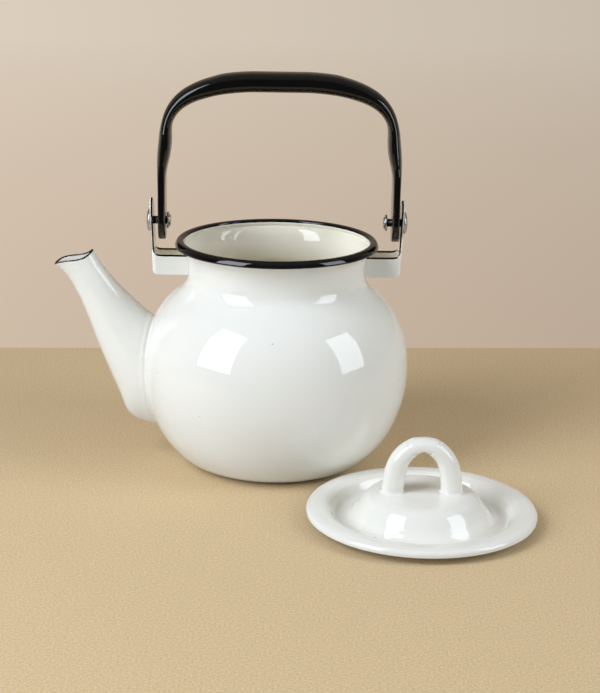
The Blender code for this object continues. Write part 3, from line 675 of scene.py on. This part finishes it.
def spout_skin(sizes, body, grow):
    """Rings of the horn from its lip to its root, and its middle line spread over them. Each ring is an
    ellipse between the outer and inner edge of a station of the share table, whose columns are both edges'
    reach and height, the half width and the beak share. It is grown by a length, and wider towards one side
    by the beak share. The lip's sides swing by its dip times the square of the sine times the bias plus the
    cosine, fading over the first stations."""
    table = np.array(SPOUT_SHARES)
    outer, inner = (np.stack([-body.belly_radius - sizes.reach * table[:, i], sizes.height * table[:, i + 1]],
                             axis=1) for i in (0, 2))
    along = run_along((outer + inner) / 2)
    rows = through(np.column_stack([outer, inner, sizes.half_width * table[:, 4], table[:, 5]]), 320, along)
    middle = (rows[:, 0:2] + rows[:, 2:4]) / 2
    across = rows[:, 2:4] - middle
    half = np.linalg.norm(across, axis=1, keepdims=True)
    across = across / half
    ahead = left_of(across)
    c, s = np.cos(around(144)), np.sin(around(144))
    wide = rows[:, 4, None] * (1.0 + rows[:, 5, None] * c) + grow
    fade = 1.0 - ease(0.0, 0.13, np.linspace(0.0, 1.0, len(rows)))[:, None]
    drop = fade * sizes.lip_dip * (sizes.lip_bias + c) * s * s
    x, z = (middle[:, i, None] + (half + grow) * c * across[:, i, None] - drop * ahead[:, i, None]
            for i in (0, 1))
    grid = places(x, wide * s, z)
    return grid, np.broadcast_to(places(middle[:, 0, None], 0.0, middle[:, 1, None]), grid.shape)


def make_spout(sizes, body):
    """Outer and inner skin of the horn, both cut off at the body, a rounded lip between them, and a fillet of
    enamel where the outer skin meets the body."""
    outline = body_outline(body)
    outer, spine = spout_skin(sizes, body, 0.0)
    inner, _ = spout_skin(sizes, body, -sizes.wall)
    gap, _ = above_body(outer, outline)
    both = cut_at(np.concatenate([outer, spine], axis=2), gap + SUNK, count=150)
    outer, spine = both[..., :3], both[..., 3:]
    gap, normal = above_body(outer, outline)
    away = outer - spine
    away -= (away * normal).sum(axis=2, keepdims=True) * normal
    bead = sizes.root_bead * np.sin(math.pi * np.clip(gap / sizes.bead_width, 0.0, 1.0)) ** 2
    outer = outer + (fillet(gap, sizes.root_fillet) + bead)[..., None] * unit(away)
    after, normal = above_body(outer, outline)
    outer -= (after - gap)[..., None] * normal
    gap, _ = above_body(inner, outline)
    inner = cut_at(inner, gap + SUNK, count=120)
    turn = np.linspace(0.0, math.pi, 9)[1:-1, None, None]
    middle, half = (outer[0] + inner[0]) / 2, (outer[0] - inner[0]) / 2
    ahead, half_wall = unit(outer[0] - outer[1]), sizes.wall / 2

    def drawn_back(skin):
        """A skin, its mouth drawn back by half the wall, fading over six walls, to make room for the lip."""
        deep = np.linalg.norm(skin - skin[0], axis=2)
        return skin - (half_wall * (1.0 - ease(0.0, 6.0 * sizes.wall, deep)))[..., None] * ahead

    lip = middle + half * np.cos(turn) + half_wall * np.sin(turn) * ahead - half_wall * ahead
    outer, inner = drawn_back(outer), drawn_back(inner)
    grid = np.concatenate([outer[::-1], lip, inner])
    down = np.linalg.norm(outer - outer[0], axis=2)
    within = np.linalg.norm(inner - inner[0], axis=2)
    c, s = np.cos(around(grid.shape[1])), np.sin(around(grid.shape[1]))

    # The bare line runs round the lip and a little way down outside, and at the back a little way in too. It
    # is strongest at the beak, opposite the beak and at the back
    marking = np.minimum(0.58 + 0.4 * ease(-0.1, 0.4, s) + 0.3 * ease(0.2, 0.6, np.abs(c)), 1.0)
    line_outside, line_inside = (0.0003, 0.0007), (0.0002, 0.0006)
    marks = np.concatenate([1.0 - ease(*line_outside, down[::-1]), np.ones(lip.shape[:2]),
                            (1.0 - ease(*line_inside, within)) * ease(-0.2, 0.2, s)]) * marking
    return mesh_piece("enamelled_spout", grid, True, "kettle", "cream_enamel", ["spout"], marks)


def swept_c(centre, deep, wide, roundness, wall, seam, hollow):
    """Section of a strip rolled to a C, carried along a path in the XZ plane. Its outside is a rounded square
    of the half depth and half width, its inside the same less the wall, and a seam is open on the inner side
    of the bend. Where hollow falls to nothing, the inside shrinks into the seam and the strip is solid."""
    outward = left_of(unit(np.gradient(centre, axis=0)))
    least, least_seam = 0.0004, 0.00008
    half_seam = np.maximum(seam / 2 * hollow, least_seam)
    part = np.linspace(-1.0, 1.0, 49)

    def loop(less):
        """Half the section's points, from one side of the seam round to the other, drawn in by a length."""
        half_deep, half_wide = np.maximum(deep - less, least), np.maximum(wide - less, least)
        shut = np.arctan2(half_seam, half_wide)[:, None]
        c, s = squared(part * (math.pi - shut), roundness[:, None])
        return half_deep[:, None] * c, half_wide[:, None] * s

    outer_c, outer_s = loop(0.0)
    inner_c, inner_s = loop(wall)

    # A solid strip keeps a slit too fine to see, so that none of its faces is without area
    slit_deep, slit_wide = 0.04, 0.002
    inner_c = -deep[:, None] + (inner_c + deep[:, None]) * np.maximum(hollow, slit_deep)[:, None]
    inner_s = inner_s * np.maximum(hollow, slit_wide)[:, None]
    c = np.concatenate([outer_c, inner_c[:, ::-1]], axis=1)
    s = np.concatenate([outer_s, inner_s[:, ::-1]], axis=1)
    x, z = (centre[:, i, None] + c * outward[:, i, None] for i in (0, 1))
    return places(x, s, z)


# What a row of an arch is multiplied by for the other side: its distance from the middle, and what follows
OTHER_SIDE = (-1, 1, 1, 1, 1)


def mirrored(half):
    """A table for a whole arch from the one for its right half."""
    return [(-row[0], *row[1:]) for row in half[:0:-1]] + list(half)


def make_bail(sizes):
    """The arch is a smooth curve through the share table, with a rounded end below each pivot. The table's
    columns are parts of the half span and of the rise, of the way from the leg's thickness to the grip's, and
    of the way from the grip's width to the leg's."""
    table = np.array(mirrored(BAIL_SHARES))
    radius = sizes.paddle_width / 2
    deep = between(sizes.leg_thickness, sizes.grip_depth, table[:, 2]) / 2
    wide = between(sizes.grip_width, sizes.paddle_width, table[:, 3]) / 2
    rows = through(np.column_stack([sizes.half_span * table[:, 0], sizes.rise * table[:, 1], deep, wide,
                                    table[:, 1]]), count=420)
    rows[:, 1] = np.minimum(rows[:, 1], sizes.rise)
    turn = np.linspace(0.0, math.pi / 2, 22)[1:]
    end = np.column_stack([np.full(len(turn), sizes.half_span), -radius * np.sin(turn),
                           sizes.leg_thickness / 2 * (1.0 - np.sin(turn) ** 40 * 0.7),
                           np.maximum(radius * np.cos(turn), 0.0003), 0.0 * turn])
    rows = np.concatenate([end[::-1] * OTHER_SIDE, rows, end])
    up = rows[:, 4]

    # The power of the rounded square: almost square at the legs, an oval in the bends, fuller along the grip
    roundness = 5.5 - 3.4 * ease(0.22, 0.42, up) + 0.7 * ease(0.9, 0.98, up)
    rolled = ease(0.34, 0.44, up)
    centre = rows[:, :2] + [sizes.shift, sizes.pivot_height]
    grid = swept_c(centre, rows[:, 2], rows[:, 3], roundness, sizes.wall, sizes.seam, rolled)
    return mesh_piece("rolled_bail", grid, False, "bail", "black_enamel", ["bail"])


def ear_inside(sizes, bail, height):
    """How far out the ear's inner face stands at a height."""
    foot = bail.pivot_height - bail.paddle_width / 2
    face = bail.half_span + bail.leg_thickness / 2 + sizes.ear_clearance
    return face + math.tan(sizes.ear_lean) * (height - foot)


def make_bracket(name, node_name, side, sizes, bail, body):
    """A sheet bent to a U in plan. Each column of the flat sheet runs from its lower edge to its upper edge,
    which goes along the strap, up a fillet and round the ear. The section of the sheet is carried round as a
    loop: outer face, rounded edge, inner face, rounded edge."""

    def both_ways(half_run, sign):
        """A run from the strap's end to the ear's middle, and on to the other end."""
        return np.concatenate([half_run, sign * half_run[-2::-1]])

    outline = body_outline(body)
    bottom = sizes.top - sizes.depth
    ear_top = bail.pivot_height + sizes.ear_rise
    half, corner, ear = sizes.width / 2, sizes.corner, sizes.ear_width / 2
    face = sizes.sheet + ear_inside(sizes, bail, bottom)
    flat_half = half - corner
    arc_end = flat_half + corner * math.pi / 2
    turn_start = ear + sizes.sweep
    side_length = face - corner - body.neck_radius
    far = np.linspace(arc_end + side_length, turn_start, 26)[:-1]
    quarter = np.linspace(0.0, math.pi / 2, 14)
    climb = np.linspace(sizes.top + sizes.bend, ear_top - ear, 12)[1:]
    round_top = np.linspace(0.0, math.pi / 2, 20)[1:]
    edge_across = np.concatenate([far, turn_start - sizes.sweep * np.sin(quarter), np.full(len(climb), ear),
                                  ear * np.cos(round_top)])
    edge_height = np.concatenate([np.full(len(far), sizes.top),
                                  sizes.top + sizes.bend * (1.0 - np.cos(quarter)), climb,
                                  ear_top - ear + ear * np.sin(round_top)])
    rest = len(edge_across) - len(far)
    foot_across = np.concatenate([far, turn_start * np.linspace(1.0, 0.0, rest)])
    edge_across, foot_across = both_ways(edge_across, -1), both_ways(foot_across, -1)
    edge_height = both_ways(edge_height, 1)

    def plan(across, inset):
        """Place and inward normal in plan at a distance along the strap from the ear's middle."""
        size, sign = np.abs(across), np.sign(across)
        angle = np.clip((size - flat_half) / corner, 0.0, math.pi / 2)
        x = face - corner + corner * np.cos(angle) - np.maximum(size - arc_end, 0.0)
        y = np.minimum(size, flat_half) + corner * np.sin(angle)
        x, y = x - inset * np.cos(angle), y - inset * np.sin(angle)
        run = np.clip((size - arc_end) / side_length, 0.0, 1.0)
        return x, sign * y, run

    heel_x = plan(foot_across, 0.0)[0] - (face - sizes.heel)
    foot_height = bottom + sizes.heel - np.sqrt(sizes.heel**2 - np.clip(heel_x, 0.0, sizes.heel) ** 2)
    rise = np.linspace(0.0, 1.0, 40)
    soft, bite = 0.0004, 0.0003

    # The loop's steps: how deep in the sheet, how far up, how much the rounded edge stands up, how bare it is
    steps = ([(0.0, part, 0.0, 0.0) for part in rise]
             + [(0.14, 1.0, 0.6, 0.0), (0.35, 1.0, 0.95, 0.5), (0.5, 1.0, 1.0, 1.0), (0.65, 1.0, 0.95, 1.0),
                (0.86, 1.0, 0.6, 1.0)]
             + [(1.0, part, 0.0, 0.0) for part in rise[::-1]]
             + [(0.8, 0.0, -0.8, 0.0), (0.5, 0.0, -1.0, 0.0), (0.2, 0.0, -0.8, 0.0)])
    depth, up, lift, bare = (np.array(column)[None] for column in zip(*steps))
    top, foot = edge_height[:, None], foot_height[:, None]
    across = foot_across[:, None] * (1.0 - up) + edge_across[:, None] * up
    length_up = np.hypot(edge_across - foot_across, edge_height - foot_height)[:, None]
    height = foot + soft + (top - foot - 2 * soft) * up + soft * lift
    x, y, run = plan(across, sizes.sheet * depth)
    reach = np.interp(height, climbing(outline), outline[:, 0])
    neck = np.sqrt((reach - bite) ** 2 - y**2)
    corner_x = face - corner
    x = np.where(run > 0.0, corner_x + (neck - corner_x) * run, x)
    x = x + math.tan(sizes.ear_lean) * (height - bottom) * (1.0 - run)
    grid = places(side * x, y, height)
    below = (1.0 - up) * length_up
    strap = ease(ear, turn_start, np.abs(edge_across))[:, None]
    line = (0.0004, 0.0010)
    near = (1.0 - ease(*line, below)) * np.where(depth > 0.5, 1.0, strap)
    # The strap's inner face gets the warmer inside coat, painted paler as light
    return mesh_piece(name, grid, False, "kettle", "cream_enamel", [node_name], np.maximum(bare, near),
                      depth > 0.9)


def turned_about_pivot(profile, side, bail):
    """Surface of revolution about the pivot's line, from a profile of radius and x."""
    y, z, x = np.moveaxis(turned(profile, SMALL_ROUND), -1, 0)
    return places(side * x, y, z + bail.pivot_height)


def washer_outside(sizes, bail):
    """How far out the washer's outer face stands."""
    return bail.half_span - bail.leg_thickness / 2 - sizes.washer_play


def make_rivet(name, node_name, side, sizes, bail):
    """Domed head, shank and peened tail. The head's outline is a quarter ellipse on a short straight foot."""
    air = 0.00005
    seat = ear_inside(sizes, bail, bail.pivot_height + sizes.head_radius) + sizes.sheet + air
    tail = washer_outside(sizes, bail) - sizes.washer_thickness - sizes.clearance
    turn = np.linspace(0.0, math.pi / 2, 24)
    head = np.stack([sizes.head_radius * np.cos(turn),
                     seat + sizes.head_height * (0.2 + 0.8 * np.sin(turn) ** 0.9)], axis=1)
    peened = [(sizes.tail_radius * out, tail - sizes.tail_height * down)
              for out, down in ((0.35, 1.0), (0.6, 0.97), (0.85, 0.7), (1.0, 0.25), (1.0, 0.0))]
    shank = [(sizes.shank_radius, tail), (sizes.shank_radius, seat), (sizes.head_radius * 0.985, seat)]
    profile = np.concatenate([[(POINT, tail - sizes.tail_height)], peened, shank, head])
    profile[-1, 0] = POINT
    grid = turned_about_pivot(profile, side, bail)
    return mesh_piece(name, grid, False, "kettle", "plated_steel", [node_name])


def make_washer(name, node_name, side, sizes, bail):
    """Flat ring with softly broken edges."""
    outer = washer_outside(sizes, bail)
    inner = outer - sizes.washer_thickness
    hole, rim, soft = sizes.shank_radius + sizes.clearance, sizes.washer_radius, 0.0002
    profile = np.array([(hole, inner + soft), (hole + soft, inner), (rim - soft, inner), (rim, inner + soft),
                        (rim, outer - soft), (rim - soft, outer), (hole + soft, outer), (hole, outer - soft)])
    grid = turned_about_pivot(profile, side, bail)
    return mesh_piece(name, grid, True, "kettle", "plated_steel", [node_name])


def make_lid(sizes):
    """Turned sheet: upper outline, rounded edge and lower outline. Chips show along the front of its edge,
    few above it. Below it, along the front, a nearly solid black band is painted shade under the edge, with
    real chips in it."""
    upper, lower = lid_outline(sizes)
    turn = np.linspace(0.0, math.pi, 9)[1:-1, None]
    middle, half = (upper[-1] + lower[-1]) / 2, (upper[-1] - lower[-1]) / 2
    down = np.array([half[1], -half[0]])
    edge = middle + half * np.cos(turn) - down * np.sin(turn) * np.sign(down[1])
    profile = np.concatenate([upper[1:], edge, lower[:0:-1]])
    profile[:, 0] = np.minimum(profile[:, 0], sizes.radius)
    profile[:, 1] = np.maximum(profile[:, 1], 0.0)
    grid = turned(profile, LARGE_ROUND, (sizes.right, -sizes.front))
    distance = np.linalg.norm(profile - profile[len(upper) - 1], axis=1)
    under = np.arange(len(profile)) > len(upper) + len(edge) // 2
    # Above the edge the black marks are chips; under it the wider, stronger band is painted shade where the
    # lid's shadow falls, with chips in it
    line_above, painted_shade_and_chips_under = (0.0004, 0.0016), (0.0020, 0.0030)
    chips_and_painted_shade = np.where(under, 0.9 * (1.0 - ease(*painted_shade_and_chips_under, distance)),
                     0.34 * (1.0 - ease(*line_above, distance)))
    front = ease(-0.2, 0.5, -(grid[..., 1] + sizes.front) / sizes.radius)
    return mesh_piece("enamelled_lid", grid, False, "lid", "cream_enamel", ["lid_shell"],
                      chips_and_painted_shade[:, None] * front)


def make_loop(sizes):
    """The rolled loop, cut off at the dome, with a fillet of enamel round each foot. The share table's
    columns are parts of the half span and of the rise, of the way from the feet's thickness to the crown's,
    and of the width. Under its crown the inner side is pinched up: the notch's rise times a mean of a tent
    over the notch's width and that tent's square."""
    upper, _ = lid_outline(sizes)
    crown = upper[0, 1]
    table = np.array(mirrored(LOOP_SHARES))
    deep = between(sizes.loop_leg_depth, sizes.loop_depth, table[:, 2]) / 2
    rows = through(np.column_stack([sizes.loop_half_span * table[:, 0], crown + sizes.loop_rise * table[:, 1],
                                    deep, sizes.loop_width * table[:, 3] / 2, table[:, 1]]), count=400)
    lower = 2 * rows[-1:] - rows[-12:-11]
    rows = np.concatenate([lower * OTHER_SIDE, rows, lower])
    hollow = ease(0.10, 0.20, rows[:, 4])
    roundness = np.full(len(rows), 2.2)
    grid = swept_c(rows[:, :2], rows[:, 2], rows[:, 3], roundness, sizes.loop_wall, sizes.loop_seam, hollow)
    peak = np.clip(1.0 - np.abs(rows[:, 0]) / sizes.notch_half_width, 0.0, 1.0)[:, None]
    inward = np.clip((rows[:, 1, None] - grid[..., 2]) / rows[:, 2, None], 0.0, 1.0)
    grid[..., 2] += sizes.notch_rise * (0.45 * peak + 0.55 * peak**2) * inward**1.5
    spine = np.broadcast_to(places(rows[:, 0, None], 0.0, rows[:, 1, None]), grid.shape)

    def gap(points):
        """How high points stand over the dome."""
        radius = np.hypot(points[..., 0], points[..., 1])
        return points[..., 2] - np.interp(radius, upper[:, 0], upper[:, 1])

    both = cut_at(np.concatenate([grid, spine], axis=2), gap(grid) + SUNK, count=260, both_ends=True)
    grid, spine = both[..., :3], both[..., 3:]
    standing = gap(grid)
    away = (grid - spine) * [1.0, 1.0, 0.0]
    away /= np.maximum(np.linalg.norm(away, axis=2, keepdims=True), 1e-6)
    outside = np.arange(grid.shape[1]) < grid.shape[1] // 2
    near_foot = standing < 2.0 * sizes.foot_fillet
    grow = np.where(near_foot & outside, fillet(np.maximum(standing, 0.0), sizes.foot_fillet), 0.0)
    grid = grid + grow[..., None] * away
    grid[..., 2] -= np.where(near_foot & outside, gap(grid) - standing, 0.0)
    grid = grid + [sizes.right, -sizes.front, 0.0]
    return mesh_piece("rolled_loop", grid, False, "lid", "cream_enamel", ["lid_loop"])


# Stage


def plane(name, corners, finish):
    """A flat stage face from its corners."""
    mesh = bpy.data.meshes.new(name)
    mesh.from_pydata(corners, [], [tuple(range(len(corners)))])
    mesh.materials.append(finish)
    stood(name, mesh)


def towards(turn, rise):
    """The direction at so many degrees to the right of -Y and so many above level."""
    turn, rise = math.radians(turn), math.radians(rise)
    return np.array([math.sin(turn) * math.cos(rise), -math.cos(turn) * math.cos(rise), math.sin(rise)])


def placed(right, up, back, where):
    """The matrix whose axes are right, up and back, at a place."""
    matrix = np.eye(4)
    matrix[:3, :] = np.stack([right, up, back, where], axis=1)
    return Matrix(matrix.tolist())


def softbox(name, stands, faces, distance, width, height, watts, tint):
    """A rectangular lamp. It stands in one direction from the kettle's middle and shines against another."""
    back = towards(*faces)
    right = towards(faces[0] + 90.0, 0.0)
    up = np.cross(back, right)
    lamp = bpy.data.lights.new(name, "AREA")
    lamp.shape = "RECTANGLE"
    lamp.size, lamp.size_y = width, height
    lamp.energy = watts
    lamp.color = tint
    middle = np.array([0.0, 0.0, 0.09])
    stood(name, lamp).matrix_world = placed(right, up, back, middle + distance * towards(*stands))


def make_camera():
    """The photograph's camera: an 85 mm lens on a 36 mm frame height, about 1.1 m away, looking down."""
    eye, pitch, yaw, roll = (0.00043, -1.01007, 0.37244), 0.2866, 0.0151, -0.0164
    forward = np.array([math.sin(yaw) * math.cos(pitch), math.cos(yaw) * math.cos(pitch), -math.sin(pitch)])
    right = np.array([math.cos(yaw), -math.sin(yaw), 0.0])
    down = np.cross(forward, right)
    right, down = (math.cos(roll) * right + math.sin(roll) * down,
                   -math.sin(roll) * right + math.cos(roll) * down)
    data = bpy.data.cameras.new("photo_camera")
    data.sensor_fit = "VERTICAL"
    data.sensor_height, data.lens = 36.0, 85.0
    data.clip_start, data.clip_end = 0.05, 50.0
    camera = stood("photo_camera", data)
    camera.matrix_world = placed(right, -down, -forward, np.array(eye))
    bpy.context.scene.camera = camera


def make_room(finish):
    """The room as the kettle sees it: dim in front, a pale ceiling above, and the wall's colour, at 0.55 of
    its level, behind."""
    world = bpy.data.worlds.new("studio_room")
    world.use_nodes = True
    tree = world.node_tree
    place = node(tree, "ShaderNodeTexCoord", {}, {}).outputs["Generated"]
    part = node(tree, "ShaderNodeSeparateXYZ", {}, {"Vector": place})
    behind = node(tree, "ShaderNodeMapRange", {"interpolation_type": "SMOOTHSTEP"},
                  {"Value": part.outputs["Y"], "From Min": -0.1, "From Max": 0.8})
    above = node(tree, "ShaderNodeMapRange", {"interpolation_type": "SMOOTHSTEP"},
                 {"Value": part.outputs["Z"], "From Min": 0.35, "From Max": 0.85})
    room = node(tree, "ShaderNodeMix", {"data_type": "RGBA"},
                {"Factor": above.outputs["Result"], "A": (0.1, 0.099, 0.097, 1.0),
                 "B": (0.305, 0.303, 0.298, 1.0)})
    shade = node(tree, "ShaderNodeMix", {"data_type": "RGBA"},
                 {"Factor": behind.outputs["Result"], "A": room.outputs["Result"],
                  "B": (*(0.55 * level for level in finish.backdrop), 1.0)})
    tree.links.new(shade.outputs["Result"], tree.nodes["Background"].inputs["Color"])
    bpy.context.scene.world = world


def make_stage(finish):
    """Table, backdrop, softboxes, room and camera. The table's back edge crosses Y at edge and falls away by
    the slant to the right, as in the photograph, and the backdrop's plane goes on from it."""
    edge, slant = 0.2487, 0.0411
    side, near = 0.8, -0.5
    plane("table", [(-side, near, 0.0), (side, near, 0.0), (side, edge + slant * side, 0.0),
                    (-side, edge - slant * side, 0.0)], kraft_paper(finish))
    far = 8.0
    plane("backdrop", [(-far, edge - slant * far, 0.0), (far, edge + slant * far, 0.0), (far, far, 0.0),
                       (-far, far, 0.0)], plain_backdrop(finish))
    softbox("left_softbox", stands=(-53.2, 33.3), faces=(-53.6, 12.8), distance=1.3,
            width=0.675, height=1.143, watts=18.3, tint=(0.83, 0.9, 1.0))
    softbox("right_softbox", stands=(69.3, 23.3), faces=(64.8, 21.1), distance=1.3,
            width=0.564, height=0.891, watts=8.2, tint=(0.85, 0.92, 1.0))
    make_room(finish)
    bpy.context.scene.view_settings.view_transform = "Standard"
    make_camera()


# Operators


class KETTLE_OT_body(bpy.types.Operator):
    """Build the turned body and cut its port"""

    bl_idname = "kettle.body"
    bl_label = "Body"

    def execute(self, context):
        make_body(context.scene.kettle_body)
        return {"FINISHED"}


class KETTLE_OT_rim(bpy.types.Operator):
    """Build the black rolled rim"""

    bl_idname = "kettle.rim"
    bl_label = "Rim"

    def execute(self, context):
        make_rim(context.scene.kettle_body)
        return {"FINISHED"}


class KETTLE_OT_spout(bpy.types.Operator):
    """Build the spout with its lip and root fillet"""

    bl_idname = "kettle.spout"
    bl_label = "Spout"

    def execute(self, context):
        make_spout(context.scene.kettle_spout, context.scene.kettle_body)
        return {"FINISHED"}


class KETTLE_OT_brackets(bpy.types.Operator):
    """Build both brackets with their ears"""

    bl_idname = "kettle.brackets"
    bl_label = "Brackets"

    def execute(self, context):
        scene = context.scene
        for word, side in (("left", -1), ("right", 1)):
            make_bracket("enamelled_" + word + "_bracket", word + "_bracket", side, scene.kettle_brackets,
                         scene.kettle_bail, scene.kettle_body)
        return {"FINISHED"}


class KETTLE_OT_rivets(bpy.types.Operator):
    """Build both rivets and their washers"""

    bl_idname = "kettle.rivets"
    bl_label = "Rivets and washers"

    def execute(self, context):
        scene = context.scene
        for word, side in (("left", -1), ("right", 1)):
            make_rivet("plated_" + word + "_rivet", word + "_rivet", side, scene.kettle_brackets,
                       scene.kettle_bail)
            make_washer("plated_" + word + "_washer", word + "_washer", side, scene.kettle_brackets,
                        scene.kettle_bail)
        return {"FINISHED"}


class KETTLE_OT_bail(bpy.types.Operator):
    """Build the rolled bail handle"""

    bl_idname = "kettle.bail"
    bl_label = "Bail"

    def execute(self, context):
        make_bail(context.scene.kettle_bail)
        return {"FINISHED"}


class KETTLE_OT_lid(bpy.types.Operator):
    """Build the loose lid"""

    bl_idname = "kettle.lid"
    bl_label = "Lid"

    def execute(self, context):
        make_lid(context.scene.kettle_lid)
        return {"FINISHED"}


class KETTLE_OT_loop(bpy.types.Operator):
    """Build the lid's finger loop"""

    bl_idname = "kettle.loop"
    bl_label = "Lid loop"

    def execute(self, context):
        make_loop(context.scene.kettle_lid)
        return {"FINISHED"}


class KETTLE_OT_stage(bpy.types.Operator):
    """Set up the table, backdrop, lamps and camera"""

    bl_idname = "kettle.stage"
    bl_label = "Stage"

    def execute(self, context):
        make_stage(context.scene.kettle_finish)
        return {"FINISHED"}


class KETTLE_PT_sidebar(bpy.types.Panel):
    """Sizes, colours and build buttons of the kettle"""

    bl_idname = "KETTLE_PT_sidebar"
    bl_label = "Enamel Tea Kettle"
    bl_space_type = "VIEW_3D"
    bl_region_type = "UI"
    bl_category = "Kettle"

    def draw(self, context):
        for title, name, group in GROUPS:
            box = self.layout.box()
            box.label(text=title)
            settings = getattr(context.scene, name)
            for key in group.__annotations__:
                box.prop(settings, key)
        for operator in OPERATORS:
            self.layout.operator(operator.bl_idname)


GROUPS = (("Body and rim", "kettle_body", KettleBodySizes), ("Spout", "kettle_spout", KettleSpoutSizes),
          ("Bail", "kettle_bail", KettleBailSizes), ("Brackets", "kettle_brackets", KettleBracketSizes),
          ("Lid", "kettle_lid", KettleLidSizes), ("Colours", "kettle_finish", KettleFinish))
OPERATORS = (KETTLE_OT_body, KETTLE_OT_rim, KETTLE_OT_spout, KETTLE_OT_brackets, KETTLE_OT_rivets,
             KETTLE_OT_bail, KETTLE_OT_lid, KETTLE_OT_loop, KETTLE_OT_stage)


def register():
    for _, name, group in GROUPS:
        bpy.utils.register_class(group)
        setattr(bpy.types.Scene, name, PointerProperty(type=group))
    for made in (*OPERATORS, KETTLE_PT_sidebar):
        bpy.utils.register_class(made)


def unregister():
    for made in (KETTLE_PT_sidebar, *reversed(OPERATORS)):
        bpy.utils.unregister_class(made)
    for _, name, group in reversed(GROUPS):
        delattr(bpy.types.Scene, name)
        bpy.utils.unregister_class(group)


def main():
    register()
    bpy.ops.kettle.body()
    bpy.ops.kettle.rim()
    bpy.ops.kettle.spout()
    bpy.ops.kettle.brackets()
    bpy.ops.kettle.rivets()
    bpy.ops.kettle.bail()
    bpy.ops.kettle.lid()
    bpy.ops.kettle.loop()
    bpy.ops.kettle.stage()


if __name__ == "__main__":
    main()
